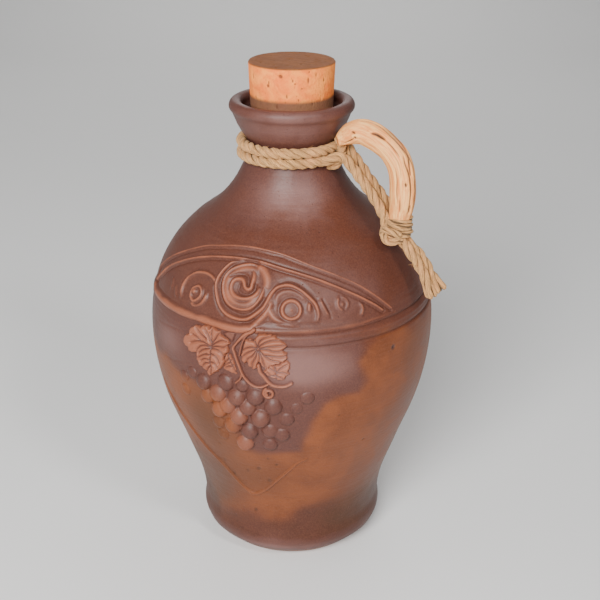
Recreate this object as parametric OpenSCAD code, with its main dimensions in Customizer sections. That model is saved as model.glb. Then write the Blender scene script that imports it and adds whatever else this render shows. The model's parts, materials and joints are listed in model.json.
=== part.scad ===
// Corked terracotta jug with a bent-branch handle tied on with rope.
// Millimetres, +Z up, origin at the centre of the base, handle on the +X side.
// Directions round the jug are degrees from -Y, growing towards +X.

/* [Jug] */
// Height from the base to the top of the rolled rim
rim_h = 209.5; // [208:0.5:212]
// Radius of the foot at its widest
foot_r = 43.3; // [42:0.1:45]
// Radius of the belly at its widest
belly_r = 64; // [62:0.5:66]
// Height of the belly's widest circle
belly_h = 107; // [104:1:109]
// Radius of the neck under the rope
neck_r = 19; // [18.6:0.1:19.1]
// Radius of the rolled rim at its widest
rim_r = 27; // [26.5:0.1:27.6]
// Thickness of the clay wall
wall = 5; // [4:0.5:6]
// Thickness of the floor
floor_t = 6; // [5:0.5:8]

/* [Cork] */
// Radius of the cork at its top
cork_top_r = 18.45; // [17.5:0.05:18.8]
// Radius of the cork at its lower end
cork_low_r = 16.2; // [15.5:0.05:16.3]
// Length of the cork
cork_len = 33.4; // [30:0.1:36]
// Depth of the cork's lower end below the rim
cork_depth = 17.5; // [17:0.1:17.7]

/* [Rope] */
// Thickness of the rope
rope_d = 4.4; // [4:0.1:4.4]
// Thickness of the rope's strands where they lash the branch
lash_d = 2.4; // [2:0.1:2.4]
// Number of turns in the lashing
lash_turns = 4; // [3:1:4]

/* [Branch] */
// Radius of the branch at the crown of its bend
branch_r = 5.2; // [4.6:0.1:5.3]

/* [Relief] */
// Direction of the middle of the grape relief
relief_dir = 13; // [0:1:20]
// Height that the relief stands proud of the wall
relief_h = 1.6; // [1:0.1:2]
// Radius of a full grape
grape_r = 2.6; // [2.2:0.1:2.6]

/* [Hidden] */

clay = [0.49, 0.29, 0.21];
clay_light = [0.62, 0.36, 0.27];
cork_tan = [0.78, 0.54, 0.35];
straw = [0.74, 0.6, 0.42];
peach_wood = [0.85, 0.62, 0.45];

// Outline of the jug above its foot: [height, radius]
stations = [
  [9.5, foot_r], [18.5, 42], [32, 44.1], [54, 51.5], [76, 59.3], [92, 62.8],
  [belly_h, belly_r], [120, 63.1], [134, 59.3], [146, 52.6], [156, 43.4], [164, 32.9],
  [172, 26], [180, 21.6], [186, neck_r], [191.5, neck_r], [196.3, 22.1], [203, 25.4]
];
outline_step = 3;
contact_r = 30;
rim_tube = 2.9;
rim_start = -35;
rim_end = 200;
rim_step = 23.5;
inner_low = 12;
inner_high = 178;
throat = [[15.5, 184], [15.8, 188], [16.7, 192], [17, 199], [18.4, 201.5]];
neck_mid_h = 188.7;
turn_gap = 2.3;
turn_r = 21.6;
hitch_ring = 5;
hitch_tube = 1.8;
hitch_x = 20.7;
hitch_low = -75;
hitch_high = 15;
lash_x = 53.2;
lash_low = 155.3;
lash_pitch = 2.5;
lash_ring = 4.7;
knot_at = [48, -3.8, 156.6];
knot_r = 2.6;
lathe_fn = 96;

// The branch's centre line and its radius at each point
branch_route = [
  [26, 0, 194.6], [27.6, 0, 196], [30, 0, 198.2], [34.4, 0, 199.8], [40, 0, 198.6], [45.2, 0, 196.2],
  [49.4, 0, 193], [52.4, 0, 188.8], [53.8, 0, 183.5], [54.2, 0, 177.6], [54, 0, 171],
  [53.6, 0, 166.4], [53.3, 0, 164.4], [53.2, 0, 159.6]
];
branch_radii = [
  for (share = [0.42, 0.62, 0.88, 1, 1, 1, 0.98, 0.98, 0.96, 0.96, 0.94, 0.88, 0.65, 0.62])
    share * branch_r
];
// Routes of the rope below the hitch, the two sides mirrored or nearly so
cord_route = [
  [30.4, 2.3, 189.2], [33, 2.3, 186], [37.4, 2.3, 180], [41.6, 2.4, 174],
  [45.2, 2.9, 168.6], [47, 3.5, 165.2]
];
tail_front_route = [
  [51.6, -2.2, 158.4], [53.4, -2.2, 154.9], [55.8, -2.3, 151.7], [58.8, -2.5, 148.1],
  [61.9, -2.7, 144.2], [65, -2.9, 140.2], [67.9, -3.1, 136.4], [70.8, -3.3, 132.6]
];
tail_back_route = [
  [51.8, 2.2, 158.2], [54, 2.2, 155], [56.9, 2.3, 152.1], [60.4, 2.5, 148.8],
  [64, 2.7, 145], [67.4, 2.9, 140.9], [70.5, 3.1, 137], [73.2, 3.3, 133.4]
];

// Relief places: [degrees from relief_dir, height]
lens_route = [
  [-56, 131], [-53, 138.6], [-46, 145.2], [-36, 149.6], [-24, 152.6], [-10, 154.4],
  [2, 154.4], [14, 153], [26, 150], [38, 145.6], [48, 140.8], [56, 135.6], [61, 131.4]
];
stem_route = [
  [3.6, 128.8], [1.4, 125.7], [-1.6, 122], [-3, 118.4], [-1.6, 112], [1.4, 107], [6, 104]
];
tendril_route = [
  [7.2, 110.4], [8, 107.6], [10.2, 105.4], [13, 105], [18.6, 105.4]
];
ridge_route = [
  [-41, 72.6], [-37.4, 64.4], [-28, 59.4], [-20, 53.6], [-13, 46], [-7, 40.2],
  [-1.6, 38.6], [6, 43.6], [15.6, 53.4], [23, 61], [25.4, 62.8]
];
// Full grapes, then the smaller ones: [degrees from relief_dir, height]
grapes_full = [
  [-16.6, 100.4], [-6.4, 103], [-15.2, 93.2], [-10, 97], [-2.2, 96.6], [4.6, 98.2], [-9.9, 88.4],
  [-5.6, 91], [1.6, 91.6], [-2, 86], [6.4, 89.6], [11.6, 94.4], [-5.2, 80.2], [1.8, 79.2],
  [-11.4, 80.4], [-11.4, 73], [-1.6, 71.8]
];
grapes_small = [
  [10, 80.4], [15.2, 77.6], [9.6, 72], [17.4, 87.6], [20.8, 93.6], [25, 98.6],
  [-27.4, 98.8], [-27.2, 92], [-22.6, 102.6]
];
small_grape = 0.8;
bed = 0.5;
bead_sides = 6;

function unit(v) = v / norm(v);
function slope_at(i) =
  let(low = stations[max(i - 1, 0)], high = stations[min(i + 1, len(stations) - 1)])
  (high[1] - low[1]) / (high[0] - low[0]);
function span_of(z) = max([for (i = [0 : len(stations) - 2]) if (i == 0 || stations[i][0] <= z) i]);

// Radius of the jug's outer face at a height, a cubic curve through the stations
function outer_r(z) =
  let(
    i = span_of(z),
    span = stations[i + 1][0] - stations[i][0],
    s = (z - stations[i][0]) / span
  )
  (2 * pow(s, 3) - 3 * s * s + 1) * stations[i][1]
  + (pow(s, 3) - 2 * s * s + s) * span * slope_at(i)
  + (3 * s * s - 2 * pow(s, 3)) * stations[i + 1][1]
  + (pow(s, 3) - s * s) * span * slope_at(i + 1);

// Outward direction of the outer face at a height: [radial, upward]
function outward(z) = unit([1, (outer_r(z - 0.5) - outer_r(z + 0.5))]);
function around(dir, r, z) = [r * sin(dir), -r * cos(dir), z];
// Point at a given distance out from the outer face, and the direction out from it
function on_wall(dir, z, lift) =
  around(relief_dir + dir, outer_r(z) + lift * outward(z)[0], z + lift * outward(z)[1]);
function out_of_wall(dir, z) = around(relief_dir + dir, outward(z)[0], outward(z)[1]);

// Solid swept along a path; depth scales it along the reference directions
module sweep(path, radii, refs, sides, depth = 1) {
  last = len(path) - 1;
  points = [
    for (i = [0 : last])
      let(
        along = unit(path[min(i + 1, last)] - path[max(i - 1, 0)]),
        up = unit(refs[i] - (refs[i] * along) * along),
        side = cross(along, up)
      )
      for (k = [0 : sides - 1])
        path[i] + radii[i] * (depth * cos(360 * k / sides) * up + sin(360 * k / sides) * side)
  ];
  faces = concat(
    [[for (k = [0 : sides - 1]) k]],
    [[for (k = [sides - 1 : -1 : 0]) last * sides + k]],
    [
      for (i = [0 : last - 1], k = [0 : sides - 1])
        let(a = i * sides + k, b = i * sides + (k + 1) % sides)
        for (face = [[a, b + sides, b], [a, a + sides, b + sides]]) face
    ]
  );
  polyhedron(points, faces, convexity = 6);
}

// Round rope along a route that stays near the handle's plane
module rope(route) {
  sweep(route, [for (p = route) rope_d / 2], [for (p = route) [0, 1, 0]], 10);
}

// Rounded bead of clay laid on the wall
module bead(route, half_w) {
  sweep(
    [for (p = route) on_wall(p[0], p[1], relief_h / 2 - bed / 2)],
    [for (p = route) half_w],
    [for (p = route) out_of_wall(p[0], p[1])],
    bead_sides,
    (relief_h + bed) / 2 / half_w
  );
}

// Spiral of clay on the wall, from its outer end inwards
module scroll(dir, z, r, turns, start) {
  steps = round(14 * turns);
  bead(
    [
      for (i = [0 : steps])
        let(
          share = i / steps,
          reach = r * (1 - 0.8 * share),
          a = start + 360 * turns * share
        )
        [
          dir + reach * sin(a) / outer_r(z) * 180 / PI,
          z + reach * cos(a) * outward(z)[0]
        ]
    ],
    r * 0.13
  );
}

// Lobed leaf: rings of points round its middle, domed, with a flat bedded back
module leaf(dir, z, size, turn) {
  spokes = 25;
  rings = 3;
  function reach(a) = size * (0.72 + 0.28 * abs(cos(a * 2.5))) * (0.86 + 0.14 * cos(a));
  function at(a, share, lift) =
    let(d = share * reach(a))
    on_wall(dir + d * sin(a + turn) / outer_r(z) * 180 / PI, z + d * cos(a + turn), lift);
  function ring(j, lift) = [for (k = [0 : spokes - 1]) at(360 * k / spokes, j / rings, lift)];
  points = concat(
    [at(0, 0, relief_h), at(0, 0, -bed)],
    [for (j = [1 : rings]) each ring(j, relief_h * (1 - 0.5 * pow(j / rings, 2)))],
    ring(rings, -bed)
  );
  function id(j, k) = 2 + (j - 1) * spokes + k % spokes;
  faces = concat(
    [for (k = [0 : spokes - 1]) [0, id(1, k), id(1, k + 1)]],
    [
      for (j = [1 : rings], k = [0 : spokes - 1])
        for (face = [
          [id(j, k), id(j + 1, k), id(j + 1, k + 1)],
          [id(j, k), id(j + 1, k + 1), id(j, k + 1)]
        ]) face
    ],
    [for (k = [0 : spokes - 1]) [1, id(rings + 1, k + 1), id(rings + 1, k)]]
  );
  polyhedron(points, faces, convexity = 6);
}

// Low dome with its flat back bedded in the wall
module grape(dir, z, r) {
  rise = r * 0.62;
  steps = 5;
  tilt = atan2(outward(z)[1], outward(z)[0]);
  profile = concat(
    [[0, -bed], [r, -bed], [r, 0]],
    [for (i = [1 : steps]) [r * cos(90 * i / steps), rise * sin(90 * i / steps)]]
  );
  translate(on_wall(dir, z, 0)) rotate([0, 0, relief_dir + dir]) rotate([90 - tilt, 0, 0])
    rotate_extrude($fn = 24) polygon(profile);
}

module jug_body() {
  outer = concat(
    [[0, 0], [contact_r, 0]],
    [
      for (a = [-75 : 15 : -15])
        [contact_r + (foot_r - contact_r) * cos(a), 9.5 + 9.5 * sin(a)]
    ],
    [for (z = [9.5 : outline_step : 203]) [outer_r(z), z]],
    [
      for (a = [rim_start : rim_step : rim_end])
        [rim_r - rim_tube + rim_tube * cos(a), rim_h - rim_tube + rim_tube * sin(a)]
    ]
  );
  inner = concat(
    [for (p = [len(throat) - 1 : -1 : 0]) throat[p]],
    [
      for (z = [inner_high : -outline_step : inner_low])
        [outer_r(z) - wall * outward(z)[0], z - wall * outward(z)[1]]
    ],
    [[34, floor_t], [0, floor_t]]
  );
  color(clay) rotate_extrude($fn = lathe_fn) polygon(concat(outer, inner));
}

module cork_stopper() {
  edge = 1;
  color(cork_tan) translate([0, 0, rim_h - cork_depth]) rotate_extrude($fn = lathe_fn)
    polygon([
      [0, 0], [cork_low_r - edge, 0], [cork_low_r, edge],
      [cork_top_r, cork_len - edge], [cork_top_r - edge * 0.3, cork_len - edge * 0.3],
      [cork_top_r - edge, cork_len], [0, cork_len]
    ]);
}

module neck_turn(z) {
  color(straw) translate([0, 0, z]) rotate_extrude($fn = lathe_fn)
    translate([turn_r, 0]) circle(d = rope_d, $fn = 24);
}

module neck_rope_upper() {
  neck_turn(neck_mid_h + turn_gap);
}

module neck_rope_lower() {
  neck_turn(neck_mid_h - turn_gap);
}

// Loop of rope that crosses over both neck turns below the branch's end
module neck_hitch() {
  color(straw) translate([hitch_x, 0, neck_mid_h]) rotate([90, 0, 0]) rotate([0, 0, hitch_low])
    rotate_extrude(angle = hitch_high - hitch_low, $fn = 48)
      translate([hitch_ring, 0]) circle(r = hitch_tube, $fn = 24);
}

module handle_branch() {
  color(peach_wood) sweep(branch_route, branch_radii, [for (p = branch_route) [0, 1, 0]], 12);
}

module handle_cord_front() {
  color(straw) rope([for (p = cord_route) [p[0], -p[1], p[2]]]);
}

module handle_cord_back() {
  color(straw) rope(cord_route);
}

module handle_lashing() {
  color(straw) for (i = [0 : lash_turns - 1])
    translate([lash_x, 0, lash_low + i * lash_pitch]) rotate_extrude($fn = 48)
      translate([lash_ring, 0]) circle(d = lash_d, $fn = 16);
}

module lashing_knot() {
  color(straw) translate(knot_at) sphere(knot_r, $fn = 32);
}

module tail_front() {
  color(straw) rope(tail_front_route);
}

module tail_back() {
  color(straw) rope(tail_back_route);
}

module lens_border() {
  color(clay_light) bead(lens_route, 2.2);
}

module scroll_middle() {
  color(clay_light) scroll(-2.2, 141.6, 9.6, 1.8, 200);
}

module scroll_left() {
  color(clay_light) scroll(-25, 137, 5, 1.3, 300);
}

module scroll_right() {
  color(clay_light) scroll(19.4, 137, 5.2, 1.3, 60);
}

module leaf_left() {
  color(clay_light) leaf(-16, 116.4, 11.5, 190);
}

module leaf_right() {
  color(clay_light) leaf(9.6, 120, 9.2, 130);
}

module leaf_small_left() {
  color(clay_light) leaf(-6, 109, 3.1, 170);
}

module leaf_small_right() {
  color(clay_light) leaf(16.8, 111.6, 3.6, 160);
}

module vine_stem() {
  color(clay_light) bead(stem_route, 1.1);
}

module tendril() {
  color(clay_light) bead(tendril_route, 0.9);
}

module grape_bunch() {
  color(clay_light) {
    for (g = grapes_full) grape(g[0], g[1], grape_r);
    for (g = grapes_small) grape(g[0], g[1], grape_r * small_grape);
  }
}

module shield_ridge() {
  color(clay_light) bead(ridge_route, 1.4);
}

jug_body();
cork_stopper();
neck_rope_upper();
neck_rope_lower();
neck_hitch();
handle_branch();
handle_cord_front();
handle_cord_back();
handle_lashing();
lashing_knot();
tail_front();
tail_back();
lens_border();
scroll_middle();
scroll_left();
scroll_right();
leaf_left();
leaf_right();
leaf_small_left();
leaf_small_right();
vine_stem();
tendril();
grape_bunch();
shield_ridge();
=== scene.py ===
"""Looks of the corked terracotta jug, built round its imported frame.

Lengths are millimetres until mesh_piece() turns them into metres. Directions round the jug are
degrees from -Y, growing towards +X; places on the relief count theirs from RELIEF_DIR.
"""
import json
import math

import bpy
import numpy as np
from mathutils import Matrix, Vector

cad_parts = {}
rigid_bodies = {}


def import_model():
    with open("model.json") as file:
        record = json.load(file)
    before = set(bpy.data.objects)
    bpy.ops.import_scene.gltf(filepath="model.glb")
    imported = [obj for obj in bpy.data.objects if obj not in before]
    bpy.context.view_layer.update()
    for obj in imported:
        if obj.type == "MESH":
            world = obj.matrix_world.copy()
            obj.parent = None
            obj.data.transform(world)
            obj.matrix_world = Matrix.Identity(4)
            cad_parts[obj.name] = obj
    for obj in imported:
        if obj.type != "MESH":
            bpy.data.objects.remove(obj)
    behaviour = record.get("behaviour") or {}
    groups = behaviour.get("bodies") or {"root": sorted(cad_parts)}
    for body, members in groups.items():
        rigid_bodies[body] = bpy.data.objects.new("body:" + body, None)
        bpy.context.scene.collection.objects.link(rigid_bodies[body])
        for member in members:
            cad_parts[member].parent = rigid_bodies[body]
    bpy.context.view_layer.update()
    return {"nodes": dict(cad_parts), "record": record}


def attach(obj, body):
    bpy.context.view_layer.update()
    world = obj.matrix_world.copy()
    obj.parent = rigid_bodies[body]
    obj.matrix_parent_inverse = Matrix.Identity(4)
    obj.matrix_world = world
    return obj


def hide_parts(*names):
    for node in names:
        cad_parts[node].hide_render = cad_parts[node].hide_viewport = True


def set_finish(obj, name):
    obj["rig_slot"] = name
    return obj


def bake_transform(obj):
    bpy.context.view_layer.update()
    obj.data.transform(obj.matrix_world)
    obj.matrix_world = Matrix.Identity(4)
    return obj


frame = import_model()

MM = 0.001
RELIEF_DIR = 13.0
ROPE_D = 4.4
TAU = 2 * math.pi
# Direction of the photograph's camera from the jug, and the rim's height
CAMERA_DIR = 32
RIM_H = 209.5


# ---------------------------------------------------------------- camera

def aimed(data, azimuth, elevation, distance, height):
    """An object for camera or light data, in metres, that faces the jug's axis at a height."""
    a, e = math.radians(azimuth), math.radians(elevation)
    back = Vector((math.sin(a) * math.cos(e), -math.cos(a) * math.cos(e), math.sin(e)))
    made = bpy.data.objects.new(data.name, data)
    made.location = Vector((0, 0, height)) + back * distance
    made.rotation_euler = back.to_track_quat("Z", "Y").to_euler()
    bpy.context.collection.objects.link(made)
    return made


def make_camera():
    data = bpy.data.cameras.new("camera")
    data.lens = 67.2
    data.shift_x = 0.0137
    bpy.context.scene.camera = aimed(data, CAMERA_DIR, 23.94, 0.5152, 0.1151)


make_camera()


# ---------------------------------------------------------------- mesh helpers

def mesh_piece(name, points, faces, body=None, stands_for=(), slot=None, grain=None, blend=None, **fields):
    """Makes a smooth mesh object from points in millimetres and lets it ride on a body.

    grain gives each point a place that runs along its fibres; each other field is one number a point."""
    mesh = bpy.data.meshes.new(name)
    mesh.from_pydata((np.asarray(points, float) * MM).tolist(), [], [list(map(int, f)) for f in faces])
    if grain is not None:
        layer = mesh.attributes.new("grain", "FLOAT_VECTOR", "POINT")
        layer.data.foreach_set("vector", np.ascontiguousarray(grain[:, :3], np.float32).ravel())
        if grain.shape[1] > 3:
            fields["crease"] = grain[:, 3]
    for key, values in fields.items():
        layer = mesh.attributes.new(key, "FLOAT", "POINT")
        layer.data.foreach_set("value", np.asarray(values, np.float32).ravel())
    mesh.shade_smooth()
    piece = bpy.data.objects.new(name, mesh)
    bpy.context.collection.objects.link(piece)
    if body:
        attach(piece, body)
    if blend:
        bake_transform(piece)
    if stands_for:
        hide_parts(*stands_for)
    if slot:
        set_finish(piece, slot)
    return piece


def unit(v):
    return v / np.maximum(np.linalg.norm(v, axis=-1, keepdims=True), 1e-12)


def smoothstep(low, high, x):
    t = np.clip((x - low) / (high - low), 0, 1)
    return t * t * (3 - 2 * t)


def gone_by(path):
    """Distance gone along a path at each of its points."""
    return np.concatenate([[0], np.cumsum(np.linalg.norm(np.diff(path, axis=0), axis=1))])


def spline(points, step, closed=False):
    """Points at even steps along a Catmull-Rom curve through the given ones."""
    p = np.asarray(points, float)
    ends = (p[-1], p[0], p[1]) if closed else (2 * p[0] - p[1], 2 * p[-1] - p[-2], None)
    q = np.vstack([ends[0], p, ends[1]] + ([ends[2]] if closed else []))
    t = np.linspace(0, 1, 24, endpoint=False)[:, None]
    parts = []
    for a, b, c, d in zip(q, q[1:], q[2:], q[3:]):
        square, cube = 2 * a - 5 * b + 4 * c - d, 3 * b - a - 3 * c + d
        parts.append(0.5 * (2 * b + (c - a) * t + square * t ** 2 + cube * t ** 3))
    line = np.vstack(parts + ([p[:1]] if closed else [p[-1:]]))
    gone = gone_by(line)
    at = np.linspace(0, gone[-1], max(int(round(gone[-1] / step)), 2) + 1)
    out = np.stack([np.interp(at, gone, line[:, k]) for k in range(line.shape[1])], axis=1)
    return out[:-1] if closed else out


def frames(path, up, closed=False):
    """Tangents and two cross directions at each point of a path, turning as little as they can."""
    if closed:
        tangent = unit(np.roll(path, -1, axis=0) - np.roll(path, 1, axis=0))
    else:
        tangent = unit(np.gradient(path, axis=0))
    u = np.zeros_like(path)
    last = np.asarray(up, float)
    for i, t in enumerate(tangent):
        last = unit(last - (last @ t) * t)
        u[i] = last
    return tangent, u, np.cross(tangent, u)


def turned(radius, angle, z):
    """Points at a radius from the jug's axis; angles run from -Y towards +X."""
    return np.stack(np.broadcast_arrays(radius * np.sin(angle), -radius * np.cos(angle), z), -1)


def grid_faces(rows, cols, loop_rows=False, loop_cols=True):
    """Quads between the points of a grid; a looped direction closes on its own start."""
    i, k = np.meshgrid(np.arange(rows - (not loop_rows)), np.arange(cols - (not loop_cols)), indexing="ij")
    j, m = (i + 1) % rows, (k + 1) % cols
    return np.stack([i * cols + k, i * cols + m, j * cols + m, j * cols + k], -1).reshape(-1, 4).tolist()


def used_only(points, faces):
    """The points that the faces use, the faces counted in those, and where the points were."""
    used = np.unique(np.array([v for face in faces for v in face]))
    index = np.zeros(len(points), int)
    index[used] = np.arange(len(used))
    return points[used], [[index[v] for v in face] for face in faces], used


def tube(path, u, v, radius, sides, closed=False):
    """Points, faces and grain of a tube; radius is an array [ring, side].

    The fourth number of a grain is 1 in a crease between strands, and 0 here; it darkens the rope there as
    painted shade."""
    rings = len(path)
    angle = np.linspace(0, TAU, sides, endpoint=False)[None, :]
    reach = np.broadcast_to(radius, (rings, sides))
    out = np.cos(angle)[..., None] * u[:, None] + np.sin(angle)[..., None] * v[:, None]
    points = path[:, None] + reach[..., None] * out
    faces = grid_faces(rings, sides, loop_rows=closed)
    if not closed:
        faces.append(range(sides - 1, -1, -1))
        faces.append(range((rings - 1) * sides, rings * sides))
    across = reach * np.cos(angle), reach * np.sin(angle)
    grain = np.stack(np.broadcast_arrays(*across, gone_by(path)[:, None], 0.0), -1)
    return points.reshape(-1, 3), faces, grain.reshape(-1, 4)


def joined(parts):
    """One set of points, faces and grain from several; the grain of each starts at its own place."""
    points, faces, grain, base = [], [], [], 0
    for i, (p, f, g) in enumerate(parts):
        points.append(p)
        faces.extend([[v + base for v in face] for face in f])
        grain.append(g + GRAIN_SHIFT * i)
        base += len(p)
    return np.vstack(points), faces, np.vstack(grain)


def ripple(p, size, seed, count=9):
    """Smooth, repeatable unevenness between about -1 and 1, with bumps of about the given size."""
    rng = np.random.default_rng(seed)
    total = np.zeros(p.shape[:-1])
    for _ in range(count):
        wave = unit(rng.normal(size=p.shape[-1])) * TAU / (size * rng.uniform(1.2, 2.6))
        total += np.sin(p @ wave + rng.uniform(0, TAU))
    return total / math.sqrt(count * 2)


def distance_to_line(p, line):
    """Distance of each point from a polyline, and the share of the line gone by there."""
    best = np.full(len(p), 1e9)
    share = np.zeros(len(p))
    seg = np.linalg.norm(np.diff(line, axis=0), axis=1)
    gone = np.concatenate([[0], np.cumsum(seg)])
    for i, (a, b) in enumerate(zip(line, line[1:])):
        d = b - a
        t = np.clip((p - a) @ d / max(d @ d, 1e-12), 0, 1)
        gap = np.linalg.norm(p - (a + t[:, None] * d), axis=1)
        near = gap < best
        best = np.where(near, gap, best)
        share = np.where(near, (gone[i] + t * seg[i]) / gone[-1], share)
    return best, share


# ---------------------------------------------------------------- the jug's wall, from the frame

def lathe_outline(node):
    """The outline of a turned CAD node as (radius, height) points, walked from its foot."""
    mesh = frame["nodes"][node].data
    key = []
    for v in mesh.vertices:
        key.append((round(math.hypot(v.co.x, v.co.y) / MM, 2), round(v.co.z / MM, 2)))
    near = {}
    for edge in mesh.edges:
        a, b = key[edge.vertices[0]], key[edge.vertices[1]]
        if a != b:
            near.setdefault(a, set()).add(b)
            near.setdefault(b, set()).add(a)
    ends = [k for k in near if len(near[k]) == 1]
    walk = [min(ends or list(near), key=lambda k: (k[1], k[0]))]
    while True:
        ahead = [k for k in near[walk[-1]] if k not in walk]
        if not ahead:
            return np.array(walk)
        walk.append(min(ahead, key=lambda k: math.dist(k, walk[-1])))


OUTLINE = lathe_outline("jug_body")
RIM_TOP = int(np.argmax(OUTLINE[:, 1]))
OUTER_LINE = spline(OUTLINE[: RIM_TOP + 1], 0.5)
BELLY_SIDE = OUTER_LINE[OUTER_LINE[:, 1] < 204]


def wall_radius(z):
    return np.interp(z, BELLY_SIDE[:, 1], BELLY_SIDE[:, 0])


def on_wall(direction, z, lift=0.0):
    """Points a given distance out from the jug's outer face, at directions in degrees."""
    direction, z, lift = np.broadcast_arrays(*(np.asarray(x, float) for x in (direction, z, lift)))
    fall = wall_radius(z - 0.5) - wall_radius(z + 0.5)
    out, up = 1 / np.sqrt(1 + fall ** 2), fall / np.sqrt(1 + fall ** 2)
    return turned(wall_radius(z) + lift * out, np.radians(direction), z + lift * up)


def on_relief(d, z, lift=0.0):
    """Points on or off the outer face, at directions in degrees from RELIEF_DIR."""
    return on_wall(RELIEF_DIR + d, z, lift)


def wall_line(places, step=0.8):
    """A smooth line on the wall through (degrees from RELIEF_DIR, height) places."""
    p = np.asarray(places, float)
    return spline(on_relief(p[:, 0], p[:, 1]), step)


def closed_line(places, step):
    """A line on the wall that ends where it starts."""
    return wall_line(places + places[:1], step)


def away_from(p, place):
    """Distance of points from one place on the wall."""
    return np.linalg.norm(p - on_relief(*place), axis=-1)


def height_of(line, d, beyond=None):
    """Height of a line on the wall at directions, and past its ends the height beyond."""
    return np.interp(d, *np.array(line).T, left=beyond, right=beyond)


def inside_outline(d, z, outline):
    """True for places within a closed outline of (direction, height) points."""
    inside = np.zeros(len(d), bool)
    for (d0, z0), (d1, z1) in zip(outline, np.roll(outline, -1, axis=0)):
        crosses = (z0 > z) != (z1 > z)
        at = d0 + (z - z0) * (d1 - d0) / np.where(abs(z1 - z0) < 1e-9, 1e-9, z1 - z0)
        inside ^= crosses & (d < at)
    return inside


def depth_inside(p, d, z, outline, line):
    """Distance of points from the line round an outline, below 0 outside it."""
    gap, _ = distance_to_line(p, line)
    return np.where(inside_outline(d, z, outline), gap, -gap)


# ---------------------------------------------------------------- places on the relief

BORDER_OUTER = [(-66, 131.5), (-60.9, 137.8), (-53.7, 143.4), (-42.6, 149.2), (-31.4, 153.3),
                (-22.7, 154.9), (-12, 156.2), (-2, 156.5), (14, 155.2), (28, 151.6), (40, 147.4),
                (48.5, 143.2), (54.6, 138.7), (58.7, 135), (62.6, 131)]
BORDER_INNER = [(-62, 129.6), (-56.6, 134.7), (-52.1, 139.1), (-43.4, 144.3), (-37.3, 147.1), (-27.5, 150.1),
                (-19.2, 151.6), (-8, 152.6), (2, 152.5), (13.3, 150.9), (22.8, 149), (31.7, 146.5),
                (40.1, 143), (48.4, 138.6), (54.5, 134.4), (57.9, 131.4)]
PANEL_BASE = [(-64, 126.4), (-58.6, 125.9), (-51.6, 126.3), (-41, 126.9), (-33, 127.3), (-25.5, 127.7),
              (-19.2, 127.9), (-14.7, 127.8), (-9.9, 127.6), (-5.6, 127.3), (-1.6, 127.4), (3.1, 128),
              (8.8, 128), (18.5, 128.2), (33, 128.4), (48, 128.6), (62, 129.2), (66, 129.4)]
OUTER_RING = [(-6, 152.1), (-9, 151.5), (-11.5, 150.7), (-13.3, 149.2), (-14.9, 147), (-15.8, 144.5),
              (-15.7, 142.1), (-13.9, 138.6), (-11.5, 135.2), (-8.3, 132.8), (-4.5, 131.7), (-0.8, 131.5),
              (1.9, 132.3), (4.3, 134.1), (7.4, 136.9), (9.1, 139.9), (10.2, 142), (11.5, 143.5),
              (13.1, 144.6), (16.2, 145.3), (19.3, 145), (22.8, 143.5), (25.3, 141.7), (26.9, 140.3),
              (28.6, 138.4), (29.4, 136.4), (29.7, 134.3), (29.2, 132.4)]
SCROLL_EDGE = [(4.3, 150.5), (0.2, 151.4), (-3.1, 151.1), (-6.7, 150.2), (-10, 148.7), (-12, 146.7),
               (-12.5, 144.3), (-11.8, 141.6), (-10.3, 138.9), (-8.3, 137), (-5.4, 135.7), (-2, 135.3),
               (1, 135.8), (3.5, 137.3), (5.5, 139.8), (6.5, 142.2), (7.1, 144.6)]
SCROLL_BAND = [(3.5, 149.4), (0, 149.9), (-3, 149.8), (-6.2, 148.9), (-8.9, 147.4), (-10.5, 145.6),
               (-10.9, 143.8), (-10.2, 141.6), (-8.9, 139.6), (-7, 138.2), (-4.6, 137.2), (-1.8, 137),
               (0.8, 137.6), (2.8, 139), (4.4, 141)]
SCROLL_MASS = [(2, 151), (4.6, 150.4), (6.6, 149), (7.9, 147.2), (8.2, 145.2), (7.6, 143.6)]
SCROLL_COIL = [(5, 143.4), (4, 141.6), (2.1, 140.2), (-0.6, 139.4), (-3.5, 139.3), (-6, 140), (-7.7, 141.5),
               (-8.2, 143.4), (-7.6, 145.1), (-5.7, 146), (-3.5, 145.9), (-2.4, 144.8), (-1.6, 143.5),
               (-0.2, 142.8), (1.2, 143.4), (1.3, 144.9), (1.6, 146.5), (1.4, 148.2), (0.6, 149.4)]
ARCH_LEFT = [(-33.6, 133), (-34.2, 136.2), (-34, 138.4), (-32.7, 141.1), (-29.4, 143.7), (-25, 144.9),
             (-20.9, 144.9), (-17.7, 143.9), (-15.6, 141.8)]
EYE_RING = [(-27.5, 138.3), (-27.9, 136.1), (-27.1, 134.5), (-25.2, 133.7), (-23.1, 135.1), (-22, 136.9),
            (-22.5, 138.7), (-24.5, 139.8)]
EYE_OUTER = [(-26.5, 132.7), (-24, 132.1), (-21.2, 133.4), (-19.6, 135.8), (-19.3, 138)]
RING_AT = (18.8, 136.5)
# Rounded studs: place, radius and rise
PANEL_STUDS = [(RING_AT, 2.9, 0.5), (RING_AT, 0.8, 0.8), ((-26.2, 137.3), 1.25, 1.2),
               ((39.9, 137.2), 1.3, 0.7)]
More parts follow.
